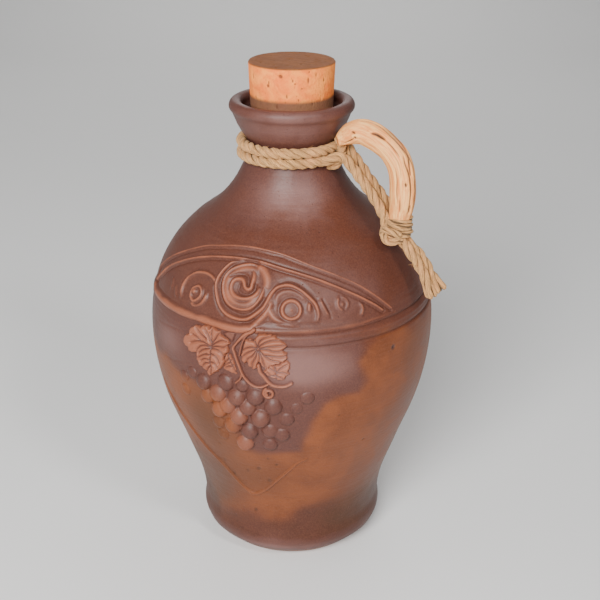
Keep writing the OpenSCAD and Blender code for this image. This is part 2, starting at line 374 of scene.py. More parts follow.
# Other ridges of the panel: line, half width and rise
PANEL_RIDGES = [
    (OUTER_RING, 0.78, 0.92), (SCROLL_EDGE, 0.72, 0.8), (SCROLL_BAND, 1.75, 0.62), (SCROLL_MASS, 2.1, 0.66),
    (SCROLL_COIL, 0.92, 0.85), (ARCH_LEFT, 0.8, 0.75), (EYE_OUTER, 0.9, 0.6),
    ([(2.4, 128), (5, 130.6), (7.4, 133.4), (9.4, 136.6), (10.6, 139.6)], 1.5, 0.62),
    ([(9.6, 138), (9.9, 136.4), (10.8, 134.6), (12.3, 133), (14.6, 131.9), (17.1, 131.3), (20.5, 130.8)],
     1.4, 0.5),
    ([(12.6, 139), (12.9, 141), (14.2, 142.4), (16.7, 143.2), (19.8, 143), (22.5, 141.9), (24.6, 140.2)],
     1.2, 0.4),
    ([(26.2, 138.7), (26.1, 137.3), (26, 135.9)], 0.85, 0.6),
    ([(31, 139.4), (31.9, 137.1), (33.6, 133.8)], 0.85, 0.5),
    ([(38.8, 139.8), (38.1, 138), (38.4, 136.1), (39.8, 134.8)], 0.8, 0.62),
    ([(40.4, 139.9), (42, 138.8), (42.6, 137), (41.6, 135.2)], 0.7, 0.42),
    ([(48.3, 136.2), (48.8, 134), (47.8, 131.8)], 0.8, 0.5),
    ([(-44.2, 137.2), (-42.5, 135.2), (-42.9, 133.4)], 0.7, 0.4),
    ([(-39.6, 135.4), (-38.3, 133.8), (-37.2, 132)], 0.7, 0.4),
]
PANEL_GROOVES = [
    ([(12.2, 142.8), (13.6, 143.7), (16, 144.3), (19.8, 144), (22.8, 142.5), (25.5, 140.5), (27.4, 138.7),
      (28.1, 136.7)], 0.42, 0.42),
    ([(13.7, 146), (17.3, 146.9), (21.6, 146.1), (25, 144.3), (27.7, 142.1), (29.6, 139.9)], 0.9, 0.34),
    ([(31.9, 140.1), (33.1, 137.8), (34.1, 135.4), (34.8, 132.7)], 0.42, 0.4),
    ([(8.6, 131.2), (12.6, 131.4), (16.9, 131.3), (22.4, 131.2), (30.4, 130.9)], 0.4, 0.26),
    ([(-1.2, 130.4), (2.2, 131), (5.2, 133), (7.8, 135.6), (9.3, 138.2)], 0.42, 0.45),
    ([(-16.8, 143.6), (-16.7, 141.4), (-14.9, 137.9), (-12.3, 134.3), (-9, 131.7)], 0.5, 0.4),
    ([(-35.4, 134.8), (-35.9, 137.6), (-34.8, 140.8), (-32.2, 143.8), (-28.6, 145.6)], 0.5, 0.34),
    ([(-9.8, 146.3), (-7.6, 147.3), (-5.3, 147.8), (-2.3, 147.6), (-0.8, 146.3), (-0.6, 144.2)], 0.5, 0.6),
    ([(-4.6, 143.9), (-4.5, 142.2), (-2.4, 140.9), (0.5, 141.1), (2.6, 142.8), (2.9, 144.7)], 0.6, 0.6),
    ([(2, 152.3), (-3, 152.5), (-7.5, 151.6), (-11.2, 150), (-13.6, 147), (-14.2, 144), (-13.2, 140.8),
      (-11, 137.3), (-8, 135), (-4, 133.6), (0, 133.4), (3, 134.9), (5.6, 137.6), (7.4, 140.2)], 0.6, 0.5),
]
STEM = [(4.6, 128.2), (3.2, 127), (1.2, 126), (-0.4, 124.1), (-2.1, 121.7), (-3.2, 119.7), (-2.5, 117.8),
        (-1.6, 115.1), (-0.3, 111.6), (0.6, 109), (2, 106.8), (3.8, 104.9), (5.8, 103.9), (8.1, 104.1),
        (10.3, 105.5)]
STEM_SIDE = [(2.9, 127), (1.2, 124.6), (0.2, 121.9), (-0.3, 119.4), (-0.6, 117)]
STEM_SPUR = [(0.4, 108.7), (-0.3, 106.5), (-2.1, 104.3)]
TENDRIL = [(6.8, 113.7), (7.4, 110.9), (8.8, 109), (10.3, 106.8), (12, 105.2), (14.5, 104.7), (16.8, 105),
           (18.9, 106.3)]
CURL_AT = (10.5, 101.2)
RIDGE = [(-50, 86), (-42, 78.5), (-34, 69), (-27, 60.4), (-19, 53.6), (-13, 46.4), (-7.4, 40.4),
         (-3.4, 38.2), (0.6, 39.4), (6, 43.6), (11, 49), (15.8, 54.4), (21, 60.4), (25.6, 63.8)]
# Leaves: outline and sunken veins
LEAVES = {
    "leaf_left": (
        [(-23.1, 122.9), (-21.8, 124.5), (-19.5, 125.4), (-17.9, 125.3), (-16.5, 126.3), (-14.5, 126.4),
         (-13.6, 125.7), (-12.2, 126.7), (-10.8, 126), (-8.7, 125.5), (-8.1, 124.2), (-6.4, 123.4),
         (-4.8, 122.3),
         (-4.6, 121.1), (-5.2, 119.9), (-5, 118.8), (-4.6, 117.6), (-5.9, 116.3), (-6.6, 115.1),
         (-6.2, 112.8),
         (-7.6, 110), (-9.3, 107.8), (-11, 106.5), (-12.8, 104.7), (-14.2, 106), (-15.6, 107.5),
         (-17.4, 108.4),
         (-18, 110), (-19.1, 111.2), (-19, 113.1), (-20.8, 113), (-22.6, 113.1), (-23.5, 114.5),
         (-25.2, 115.2),
         (-26, 116.8), (-25.4, 119.3), (-23.4, 120.8)],
        [[(-12.1, 118.1), (-11.9, 120.9), (-12.5, 123.6), (-12.4, 125.6)],
         [(-12, 120.2), (-13.3, 122.1), (-14.6, 123.7), (-15.6, 124.6)],
         [(-11.5, 120.1), (-10.3, 122.6), (-9.5, 124.2), (-8.7, 125.3)],
         [(-12.2, 118.3), (-13.6, 118.9), (-16.1, 119.4), (-18.8, 118.9), (-21.9, 117.3)],
         [(-16.9, 119.3), (-19.3, 120.7), (-21.4, 121.1)],
         [(-12.3, 118), (-14.6, 118.3), (-16.8, 117.4), (-18.5, 115.6), (-19, 113.6)],
         [(-12.1, 117.6), (-13.9, 117), (-16, 115.9), (-17.8, 114)],
         [(-12.1, 117.8), (-12.3, 114.3), (-12.7, 111.4), (-12, 108.8), (-12.5, 106)],
         [(-12.4, 114.6), (-14.5, 114.4), (-16.7, 113), (-18.1, 111.8)],
         [(-12.6, 112.2), (-14.8, 112.4), (-16.7, 110.9)], [(-12.6, 110.8), (-14.5, 110.6), (-15.9, 108.7)],
         [(-12.1, 117.6), (-9.7, 117.8), (-7.7, 116.9), (-6.5, 115.1)],
         [(-12.2, 115.4), (-10.3, 114.8), (-9, 113.2), (-8.6, 111.9)],
         [(-12.3, 111.5), (-10.6, 111.3), (-9.3, 109.6)],
         [(-12, 118.1), (-9.8, 119.1), (-7.1, 119.3), (-5.2, 120.5)],
         [(-11.6, 119.1), (-9.9, 120.7), (-7.9, 121.9), (-5.8, 122)],
         [(-12.3, 109.8), (-13.4, 108.4), (-14.2, 106.4)], [(-14.6, 121.2), (-17.6, 122.6), (-19.6, 124.2)]],
        1.35),
    "leaf_right": (
        [(5.7, 126.2), (7.3, 127.1), (9.4, 127.1), (11.4, 127.1), (12.9, 126.7), (14.4, 125.6), (16.1, 124.4),
         (17.6, 123.1), (16.5, 121.4), (15.7, 120.9), (17.3, 119.7), (17.6, 118.1), (16.8, 116.4),
         (15.3, 115.1),
         (13.6, 114.6), (12.2, 114), (11.2, 113.6), (10.2, 111.6), (8.8, 112.9), (7.6, 114.6), (6.9, 115.4),
         (6.6, 113.6), (5.9, 112.2), (4.7, 111.7), (3.1, 113.2), (2.3, 114.5), (1.6, 113.6), (0.2, 115.6),
         (0.1, 118.4), (0.8, 120.6), (1.2, 123.3), (2.4, 124.5), (4.3, 124.6), (5.2, 124.8)],
        [[(6.5, 121.5), (5.7, 123.5), (4.5, 124.1), (2.8, 124)], [(6.4, 121.2), (4, 121.3), (1.9, 120.5),
                                                                  (0.3, 119.2)],
         [(6.2, 120.9), (4.3, 119.8), (2.3, 118.5), (0.5, 116.5)], [(6.1, 120.5), (4.7, 117.8),
                                                                    (2.9, 116.4), (2.4, 114.8)],
         [(6.4, 120.2), (5.8, 117.3), (4.7, 114.8), (4.5, 112.4)], [(6.6, 122), (7.4, 124.3),
                                                                    (9.4, 125.7), (11.7, 126.6)],
         [(6.8, 121.7), (8.9, 123.5), (11.5, 124.6), (14.7, 124.9)], [(7.1, 121.2), (11, 122.1),
                                                                      (14.1, 122.6), (17.1, 123)],
         [(7.1, 120.8), (10.1, 121), (12.2, 120.3), (14.4, 120.3), (16.4, 121.1)],
         [(7, 120.5), (8.7, 118.6), (11.3, 116.8), (14.2, 116), (15.6, 115.4)],
         [(9.3, 118.3), (12.5, 118.2), (15.3, 118.1), (17.3, 118.8)],
         [(6.9, 120.1), (8.2, 117.2), (8.9, 114.6), (10.2, 112.4)], [(6.7, 119.9), (7.3, 117.5), (7, 115.9)]],
        1.45),
    "leaf_small_left": (
        [(-6.4, 115.6), (-4.8, 117.1), (-3.2, 115.4), (-2.2, 112.7), (-1.7, 108.4), (-3.1, 108.5),
         (-5, 109.1),
         (-6.9, 109.8), (-6.4, 112.8)],
        [[(-5.1, 116.5), (-4.3, 114.3), (-3.1, 111.8), (-2, 109.2)], [(-4.6, 114.9), (-5.4, 113.9),
                                                                      (-6.1, 113.2)],
         [(-3.9, 113.3), (-5, 112.7), (-6.1, 111.8)], [(-3.3, 111.7), (-4.7, 111.4), (-6.3, 110.5)],
         [(-4.3, 114.3), (-3.3, 114.5)], [(-3.5, 112.4), (-2.4, 112.3)]],
        0.9),
    "leaf_small_right": (
        [(10.2, 114.4), (12.4, 114.4), (14.6, 115), (15.9, 116.2), (17.8, 116.4), (18.6, 114.1),
         (17.9, 111.4),
         (18.2, 109.9), (16.8, 109.3), (16.5, 107.8), (14.2, 107.4), (13.1, 108), (11.1, 108.9), (8.8, 110.8),
         (9.6, 112.6)],
        [[(12.8, 113.6), (13.4, 111.2), (13.5, 107.5)], [(13.4, 111.2), (15, 113), (17.3, 114.7)],
         [(13.4, 110.9), (15.6, 111.3), (18, 110.2)], [(13.2, 111.6), (11.9, 112.5), (10.8, 113.1)],
         [(13.4, 109.9), (11.6, 109.7), (10.2, 111)], [(13.5, 109.5), (15, 108.9), (16.2, 107.9)]],
        1.0),
}
LEAF_BIT = [(-8.2, 124.9), (-5.6, 126.3), (-2.7, 126.2), (-2.8, 124.3), (-3.6, 122), (-4.9, 122.6),
            (-6.6, 123.6)]
# Grapes: direction, height, radius, how far each stands proud, and how warm its colour is
GRAPES = [(-16.6, 100.6, 3.7, 2.0, 0.2), (-6.4, 103.4, 3.8, 1.8, 0.1), (-15.4, 93.8, 3.5, 1.7, 0.65),
          (0.3, 103.1, 2.9, 1.1, 0), (-10.2, 97, 3.9, 2.2, 0.85), (-2.2, 97.2, 3.9, 2.4, 0.62),
          (5.3, 98.8, 3.9, 2.3, 0.15), (-10.2, 89, 3.8, 2.4, 0.85), (-6.2, 92, 3.8, 2.2, 0.9),
          (2.1, 93, 3.8, 2.3, 0.62), (-1.9, 87.6, 4.0, 2.7, 0.9), (6.9, 88.2, 4.2, 2.9, 0.6),
          (12, 94.2, 3.8, 1.8, 0.1), (-5.2, 81.6, 3.9, 2.2, 0.65), (1.9, 80.3, 3.9, 2.5, 0.25),
          (-12.1, 81.0, 3.2, 1.1, 0.4), (-11.4, 74.2, 3.0, 0.8, 0.3), (-0.8, 72.9, 4.0, 2.6, 0.95),
          (10.3, 81.4, 3.6, 1.7, 0.5), (15.0, 79.4, 3.5, 1.4, 0.25), (9.9, 73.2, 3.3, 1.4, 0.3),
          (17.2, 87.9, 3.1, 1.0, 0.1), (20.8, 93.4, 2.7, 0.6, 0.05), (24.8, 98.6, 3.0, 0.8, 0.05),
          (-27.4, 99, 2.7, 0.7, 0.3), (-27.8, 92, 2.9, 0.7, 0.5), (-22.6, 102.6, 2.8, 0.8, 0.25)]
CHIP = (61.2, 114.4)
# Edges of the smoky patch on the belly and of the darker foot
SMOKE_EDGE = [(-95, 122), (-80, 112), (-62, 107), (-46.2, 104.6), (-39.8, 104.7), (-35.9, 101.5),
              (-29.4, 99.1), (-20.6, 97.2), (-12.4, 98), (-5.8, 94.8), (-2.8, 89.6), (-2.8, 81),
              (-2.4, 73.4), (0.6, 68), (4, 67.2), (13.1, 68.3), (22.8, 69.5), (23.8, 76), (26.8, 82.8),
              (28, 90), (30.2, 96.5), (36.2, 99.6), (44.3, 100), (46.5, 103.2), (43.7, 112.4),
              (46.5, 119.1), (46, 124), (0, 126), (-60, 126)]
FOOT_EDGE = [(-180, 30), (-100, 33), (-60, 36), (-41, 35), (-36, 26), (-32.6, 21.2), (-15.4, 24.5),
             (-1.7, 27.6), (12.3, 24.5), (25.6, 32.4), (35.5, 35.5), (44.3, 35.6), (60.9, 31.2),
             (74.7, 29), (100, 33), (180, 30)]
PITS = [(-4.9, 51.2), (-3.4, 53.8), (-12.3, 49.1), (6.4, 51.3), (11.9, 60.1), (7.6, 49.1), (-15.9, 56),
        (-15.1, 67), (2.8, 56.3), (8.2, 63.4), (-16.2, 28.3), (-3.5, 27.8), (38, 88), (52, 70), (-36, 58),
        (-60, 90), (80, 60), (120, 84), (170, 96), (-140, 70), (-100, 132)]
SCRATCHES = [[(-46.1, 117.4), (-36.4, 118.8), (-26.8, 120.3)], [(-40.1, 103.1), (-34.1, 103.9),
                                                                (-23.5, 106.8)],
             [(55.6, 143.9), (59.8, 145.7), (65.2, 146.4)], [(80.1, 138), (80.9, 135.2), (82.6, 132.5)],
             [(68, 133.6), (73.2, 133.5), (81.4, 131.6)], [(-13, 26.5), (-9.5, 24.5), (-7, 22)]]


# Darker blots, and paler blots that are mostly painted sheen on the belly, neck, under the rim and over the
# foot: direction, height, half width, half height and strength
UMBER_BLOTS = [(-30, 40, 17, 18, 1), (-19, 79, 13, 19, 0.85), (2, 50, 20, 14, 0.5), (66, 32, 30, 14, 0.5),
               (-46, 34, 13, 16, 1), (62, 22, 26, 10, 0.8)]
PALE_AND_SHEEN_BLOTS = [(25, 112, 17, 9, 1.1), (-38, 113, 10, 8, 0.6), (22, 172, 40, 9, 0.9), (16, 203, 60, 9, 0.6),
              (10, 8, 30, 5, 0.9), (30, 140, 30, 12, 0.4), (200, 100, 60, 40, 0.5)]
# Turned steps of the band under the panel: height, rise, half width and power of the curve
BAND_STEPS = ((127.3, -0.75, 0.55, 2), (121.6, -0.75, 0.5, 2), (124.5, 0.4, 2.0, 4), (125.2, 0.22, 0.5, 2))
# Creases under the rim and over the foot: height and depth; the depth also darkens the clay there as painted
# shade
CREASES = ((203.4, 0.3), (17.5, 0.12))
# The relief is bedded this far into the wall
BED_DEPTH = 2.2
INNER_SMOKE = 0.9
GRAIN_SHIFT = np.array([17.0, 9.0, 31.0, 0.0])


# ---------------------------------------------------------------- jug body

def jug_columns():
    """Directions of the jug's mesh lines, close together across the relief."""
    fine = np.arange(RELIEF_DIR - 62, RELIEF_DIR + 66, 0.62)
    coarse = np.arange(fine[-1] + 1.2, fine[0] + 360 - 1.0, 1.9)
    return np.concatenate([fine, coarse])


def jug_rows():
    """The outline at close steps where there is relief, and the inside at wide ones."""
    height = OUTER_LINE[:, 1]
    step = np.where((height > 60) & (height < 159), 0.62, 1.5)
    step = np.where((height > 119) & (height < 130), 0.42, step)
    step = np.where(height > RIM_H - 6.5, 0.8, step)
    gone = gone_by(OUTER_LINE)
    rank = np.concatenate([[0], np.cumsum(np.diff(gone) / step[1:])])
    at = np.interp(np.linspace(0, rank[-1], int(rank[-1])), rank, gone)
    outer = np.stack([np.interp(at, gone, OUTER_LINE[:, k]) for k in (0, 1)], axis=1)
    inner = OUTLINE[RIM_TOP:]
    mouth = spline(inner[inner[:, 1] > 180], 1.0)[1:]
    return outer, np.vstack([mouth, inner[inner[:, 1] <= 180][::2], inner[-1:]])


def inside_panel(d, z):
    """1 within the lens-shaped panel on the shoulder, falling to 0 just inside its border."""
    top, low = height_of(BORDER_OUTER, d, 0), height_of(PANEL_BASE, d)
    return smoothstep(0.6, 1.6, top - z) * smoothstep(0.0, 0.8, z - low)


def blots(d, z, rows):
    """Summed strength, at most 1, of soft blots: direction, height, half width, half height, share."""
    return np.minimum(sum(share * np.exp(-((d - at) / wide) ** 2 - ((z - level) / tall) ** 2)
                          for at, level, wide, tall, share in rows), 1)


def colour_zones(d, z, p):
    """Shares of the kiln's colours at places on the wall, by directions from RELIEF_DIR; the band over the
    foot and most paler blots are painted sheen.
    """
    d = (d + 180) % 360 - 180
    wander = 1.5 * ripple(p, 16, 5) + 0.8 * ripple(p, 5, 6)
    edge = np.array(SMOKE_EDGE)
    edge = on_relief(edge[:, 0], edge[:, 1])
    depth = depth_inside(p, d, z, SMOKE_EDGE, np.vstack([edge, edge[:1]]))
    belly = smoothstep(-4.6, 4.8, depth + wander)
    clouds = ripple(p, 46, 9) + 0.45 * ripple(p, 17, 10)
    back = smoothstep(70, 110, np.abs(d)) * smoothstep(0.0, 0.9, clouds)
    neck = smoothstep(150, 176, z + 3 * wander) * 0.9
    shoulder = 0.5 * smoothstep(118, 126, z + wander)
    # A paler smoky band over the foot: painted sheen.
    ring = 0.75 * smoothstep(15, 10, z + wander) * smoothstep(1.5, 3.5, z)
    foot = smoothstep(-9, 15, height_of(FOOT_EDGE, d) - z + 1.6 * wander) * smoothstep(1, 4, z)
    orange = smoothstep(126, 112, z + 2 * wander) * (1 - belly) * (1 - foot)
    return {"smoke": np.maximum.reduce([belly, back * 0.8, neck, shoulder, ring]), "orange": orange,
            "foot": foot, "umber": blots(d, z, UMBER_BLOTS), "pale": blots(d, z, PALE_AND_SHEEN_BLOTS)}


def jug_lift(direction, z, p):
    """How far the thrown wall departs from its smooth outline."""
    d = direction - RELIEF_DIR
    round_about = np.radians(direction)
    lift = 0.10 * ripple(p, 34, 3) + 0.05 * ripple(p, 12, 4)
    lift += 0.045 * np.sin(z * 1.9 + 0.6 * np.sin(round_about)) * smoothstep(150, 165, z)
    lift += 0.02 * np.sin(z * 3.1 + round_about)
    band_here = np.maximum(smoothstep(2, 8, d), smoothstep(-58, -66, d))
    for height, rise, width, power in BAND_STEPS:
        lift += band_here * rise * np.exp(-((z - height) / width) ** power)
    lift -= band_here * smoothstep(60, 40, d) * 0.3 * np.exp(-((z - 130.6) / 0.4) ** 2)
    lift -= 1.6 * inside_panel(d, z)
    for height, depth in CREASES:
        lift -= depth * np.exp(-((z - height) / 1.5) ** 2)
    lift -= 0.7 * np.exp(-(away_from(p, CHIP) / 0.9) ** 4)
    lift -= 0.4 * jug_pits(p)
    for scratch in SCRATCHES:
        gap, _ = distance_to_line(p.reshape(-1, 3), wall_line(scratch, 1.5))
        lift -= 0.22 * np.exp(-(gap / 0.45) ** 2).reshape(lift.shape)
    return lift


def jug_pits(p):
    """1 at the middle of each small hole in the jug's skin, falling to 0 round it."""
    deep = np.zeros(p.shape[:-1])
    for i, place in enumerate(PITS):
        deep = np.maximum(deep, np.exp(-(away_from(p, place) / (0.38 + 0.13 * (i % 3))) ** 2))
    return deep


def make_jug():
    columns = jug_columns()
    outer, inner = jug_rows()
    a = np.radians(columns)[None, :]
    tangent = unit(np.gradient(outer, axis=0))
    r, z = outer[:, :1], outer[:, 1:]
    smooth = turned(r, a, z)
    directions = np.broadcast_to(columns, smooth.shape[:2])
    lift = jug_lift(directions, smooth[..., 2], smooth)
    lift = lift * smoothstep(0.2, 6, z) * smoothstep(RIM_H, RIM_H - 3.5, z)
    rounded_foot = 1.5 * smoothstep(0.3, 2.5, z) * smoothstep(14, 7, z)
    lift -= rounded_foot * (1 - 0.1 * ripple(smooth, 9, 8))
    shell = turned(r + lift * tangent[:, 1:2], a, z - lift * tangent[:, :1])
    inside = turned(inner[:, :1], a, inner[:, 1:])
    grid = np.concatenate([shell, inside])
    rows, cols = grid.shape[:2]
    points = np.vstack([grid.reshape(-1, 3), [[0, 0, 0.0], [0, 0, inner[-1, 1]]]])
    faces = grid_faces(rows, cols)
    foot, floor, last = rows * cols, rows * cols + 1, (rows - 1) * cols
    for j in range(cols):
        k = (j + 1) % cols
        faces.append((foot, k, j))
        faces.append((floor, last + j, last + k))
    zones = colour_zones(directions.ravel() - RELIEF_DIR, smooth[..., 2].ravel(), smooth.reshape(-1, 3))
    # Each small hole is darkened as painted shade.
    zones["umber"] = zones["umber"] + jug_pits(smooth).ravel() * 1.6
    # The tone follows the lift: painted shade in the band's grooves, creases, pits, scratches and chip,
    # painted highlight on the raised band, and paler towards the foot's lower edge.
    zones["proud"] = (lift + 1.5 * smoothstep(12, 6.5, z)).ravel()
    rest = np.zeros(len(points) - lift.size)
    fields = {key: np.concatenate([value, rest]) for key, value in zones.items()}
    fields["smoke"][lift.size:] = INNER_SMOKE
    fields["bare"] = np.exp(-(away_from(points, CHIP) / 1.1) ** 4)
    mesh_piece("jug_clay", points, faces, "jug", ["jug_body"], "terracotta", **fields)


# ---------------------------------------------------------------- relief

def relief_patch(name, nodes, spread, heights, step, height_at, sunk=-0.3):
    """A closed pad of clay on the wall; height_at gives its lift and how pale it looks, which paints
    highlight on raised parts over their own warmer colour and shade in grooves.

    Parts whose lift is below sunk are left out."""
    low, high = heights
    cols = int(math.radians(spread[1] - spread[0]) * wall_radius((low + high) / 2) / step) + 2
    climb = np.hypot(1, wall_radius(high) / (high - low) - wall_radius(low) / (high - low))
    rows = int((high - low) * climb / step) + 2
    d, z = np.meshgrid(np.linspace(*spread, cols), np.linspace(*heights, rows))
    base = on_relief(d, z)
    lift, proud = height_at(base.reshape(-1, 3), d.ravel(), z.ravel())
    lift = lift.reshape(d.shape)
    keep = np.maximum.reduce([lift[:-1, :-1], lift[1:, :-1], lift[:-1, 1:], lift[1:, 1:]]) > sunk
    front = on_relief(d, z, np.maximum(lift, sunk - 0.25)).reshape(-1, 3)
    rear = on_relief(d, z, -BED_DEPTH).reshape(-1, 3)
    quads = np.array(grid_faces(rows, cols, loop_cols=False))[keep.ravel()]
    shift = rows * cols
    faces = quads.tolist() + (quads[:, ::-1] + shift).tolist()
    edges = {}
    for face in quads.tolist():
        for a, b in zip(face, face[1:] + face[:1]):
            if (b, a) in edges:
                del edges[(b, a)]
            else:
                edges[(a, b)] = True
    faces += [(b, a, a + shift, b + shift) for a, b in edges]
    points, faces, used = used_only(np.vstack([front, rear]), faces)
    fields = colour_zones(d.ravel(), z.ravel(), base.reshape(-1, 3))
    fields["proud"] = proud.ravel()
    fields = {key: np.concatenate([value, np.zeros(shift)])[used] for key, value in fields.items()}
    mesh_piece(name, points, faces, "jug", nodes, "relief_clay", **fields)


def bead_height(gap, half_w, rise, foot=0.9):
    """Round-backed ridge that runs out into the wall."""
    x = np.minimum(gap / half_w, 1)
    body = rise * (1 - x ** 2) ** 0.65
    return body - 0.55 * smoothstep(half_w, half_w + foot, gap)


def soft_ridge(gap, half_w, rise):
    """Ridge with a rounded back that eases into the ground on both sides."""
    return rise * np.exp(-1.1 * (gap / half_w) ** 2.2)


def soft_groove(gap, half_w, depth):
    """Groove with a rounded bottom."""
    return depth * np.exp(-(gap / half_w) ** 2)


def spiral(centre, r0, r1, start, turns, step=0.5):
    """Line that winds inwards on the wall; angles run from straight up towards the handle's side."""
    share = np.linspace(0, 1, int(abs(turns) * 40) + 2)
    r = r0 + (r1 - r0) * share
    a = np.radians(start + 360 * turns * share)
    lean = math.cos(math.atan(wall_radius(centre[1] - 1) / 2 - wall_radius(centre[1] + 1) / 2))
    d = centre[0] + np.degrees(r * np.sin(a) / wall_radius(centre[1]))
    z = centre[1] + r * np.cos(a) * lean
    return wall_line(np.stack([d, z], 1), step)


def panel_rise(p, ridges, rings):
    """Height of the scrolls, rings and studs that stand up from the panel's ground."""
    rise = np.zeros(len(p))
    for line, width, up in ridges:
        gap, share = distance_to_line(p, line)
        ends = smoothstep(-0.02, 0.1, share) * smoothstep(1.02, 0.9, share) * 0.5 + 0.5
        rise = np.maximum(rise, soft_ridge(gap, width, 1.3 * up * ends))
    for line, width, up in rings:
        rise = np.maximum(rise, soft_ridge(distance_to_line(p, line)[0], width, up))
    for place, width, up in PANEL_STUDS:
        rise = np.maximum(rise, soft_ridge(away_from(p, place), width, up))
    return rise


def make_panel():
    """The lens-shaped panel: moulded border, sunk ground and the scrolls that rise from it."""
    outer, inner, base = (wall_line(line, 1.2) for line in (BORDER_OUTER, BORDER_INNER, PANEL_BASE))
    ridges = [(wall_line(line, 0.7), width, rise) for line, width, rise in PANEL_RIDGES]
    rings = [(spiral(RING_AT, 3.75, 3.75, 0, 1.0), 0.8, 1.15), (closed_line(EYE_RING, 0.5), 0.72, 0.95)]
    grooves = [(wall_line(line), width, depth) for line, width, depth in PANEL_GROOVES]
    grooves.insert(0, (spiral(RING_AT, 5.15, 5.15, 150, 0.86), 0.6, 0.3))

    def height(p, d, z):
        o, _ = distance_to_line(p, outer)
        i, _ = distance_to_line(p, inner)
        b, along = distance_to_line(p, base)
        above = z > height_of(PANEL_BASE, d)
        within = above & (z < height_of(BORDER_OUTER, d, 0))
        below_inner = z < height_of(BORDER_INNER, d, 0)
        ground = np.where(below_inner, -0.72 + 0.3 * smoothstep(4, 0, b), -0.4) + 0.05 * ripple(p, 7, 31)
        rise = panel_rise(p, ridges, rings)
        cut = np.maximum.reduce([soft_groove(distance_to_line(p, line)[0], width, depth)
                                 for line, width, depth in grooves])
        rise = np.where(below_inner, rise, rise * smoothstep(1.0, 0.3, i))
        cut = np.where(rise > 0.3, cut * 0.7, cut)
        left = smoothstep(0.58, 0.5, along)
        border, sill = soft_ridge(o, 0.6, 0.8), soft_ridge(b, 1.2 + 0.7 * left, 0.5 + 0.55 * left)
        edge = np.maximum.reduce([border, soft_ridge(i, 0.6, 0.95), sill])
        for gap, depth in ((o, 0.34), (i, 0.36)):
            cut = np.maximum(cut, soft_groove(gap - 1.15, 0.4, depth) * within)
        lift = ground + np.maximum(rise, edge) - cut - soft_groove(b - 2.7, 0.5, 0.2) * within * left
        outside = np.where(above, -0.4 + border - 1.4 * smoothstep(0.6, 2.2, o),
                           -0.45 + sill - 1.4 * smoothstep(1.2, 3.2, b))
        lift = np.where(within, np.maximum(lift, -1.3), outside)
        lift = np.where((d < -64) | (d > 65), -1.7, lift)
        # Raised scrolls, rings and border are paler as painted highlight, and grooves darker as painted
        # shade.
        shade = np.maximum(np.where(within, rise, 0), edge) * 1.5 - np.where(within, cut, 0) * 1.7 - 0.06
        return lift, shade + 0.2 * ripple(p, 5, 32)

    nodes = ["lens_border", "scroll_middle", "scroll_left", "scroll_right"]
    relief_patch("lens_panel", nodes, (-65, 66), (123.5, 159), 0.36, height, sunk=-1.35)


def make_leaf(name, outline, veins, rise, seed):
    """A vine leaf: a crisp, scalloped edge, and flesh that swells between sunken veins."""
    shape = spline(outline, 0.5, closed=True)
    edge = spline(on_relief(shape[:, 0], shape[:, 1]), 0.5, closed=True)
    edge = np.vstack([edge, edge[:1]])
    lines = [wall_line(vein, 0.6) for vein in veins]
    heart = veins[0][0]
    teeth = round(np.linalg.norm(np.diff(edge, axis=0), axis=1).sum() / 2.3)

    def height(p, d, z):
        gap, along = distance_to_line(p, edge)
        tooth = np.abs((along * teeth) % 1 - 0.5) * smoothstep(1.2, 0.3, gap)
        inner = np.where(inside_outline(d, z, shape), gap, -gap)
        inner = inner + 0.16 * ripple(p, 1.3, seed) - 0.75 * tooth + 0.2
        vein = np.full(len(p), 9.0)
        groove = np.zeros(len(p))
        for line in lines:
            away, share = distance_to_line(p, line)
            vein = np.minimum(vein, away)
            groove = np.maximum(groove, soft_groove(away, 0.31 - 0.06 * share, 0.7 - 0.25 * share))
        far = away_from(p, heart)
        body = rise * (0.55 + 0.45 * smoothstep(0.0, 0.9, inner))
        swell = 0.5 * smoothstep(0.1, 1.25, vein) * smoothstep(0.0, 1.0, inner)
        flesh = body + swell - groove + 0.3 * smoothstep(6, 1, far) - 0.3 * smoothstep(1.0, 0.2, far)
        flesh += 0.07 * ripple(p, 2.2, seed + 1) + 0.12 * ripple(p, 6, seed + 2)
        lift = np.where(inner > 0, flesh * smoothstep(-0.05, 0.45, inner) - 0.05, -0.05 + 2.2 * inner)
        # The leaf's own paler colour, darkened in its veins and towards its rim as painted shade.
        shade = np.where(inner > 0, 1.5 - 1.9 * groove - 0.5 * smoothstep(0.6, 0.0, inner), 0.1)
        return lift, shade

    low, high = shape.min(0) - (2, 1.6), shape.max(0) + (2, 1.6)
    relief_patch(name + "_clay", [name], (low[0], high[0]), (low[1], high[1]), 0.25, height)


def make_leaves():
    for seed, (name, (outline, veins, rise)) in enumerate(LEAVES.items()):
        make_leaf(name, outline, veins, rise, 21 + 3 * seed)


def make_vine():
    """The stem with its side shoot and spur, and the bit of leaf behind it."""
    lines = [(wall_line(STEM), 0.84, 1.4), (wall_line(STEM_SIDE), 0.7, 1.0), (wall_line(STEM_SPUR), 0.8, 1.1)]
    shape = spline(LEAF_BIT, 0.5, closed=True)
    bit = closed_line(LEAF_BIT, 0.6)

    def height(p, d, z):
        rises = []
        for line, width, rise in lines:
            gap, along = distance_to_line(p, line)
            swell = 1.25 - 0.45 * smoothstep(0, 0.3, along)
            rises.append(bead_height(gap, width * swell, rise, 0.5))
        inner = depth_inside(p, d, z, shape, bit)
        rises.append(np.where(inner > 0, 0.75 * smoothstep(0, 0.8, inner), 2 * inner))
        lift = np.maximum.reduce(rises)
        # The tone follows the lift: paler on top as painted highlight over the stem's own warmer colour,
        # darker at its foot as painted shade.
        return lift, lift

    relief_patch("vine_stem_clay", ["vine_stem"], (-9.5, 11.6), (102, 130), 0.26, height)


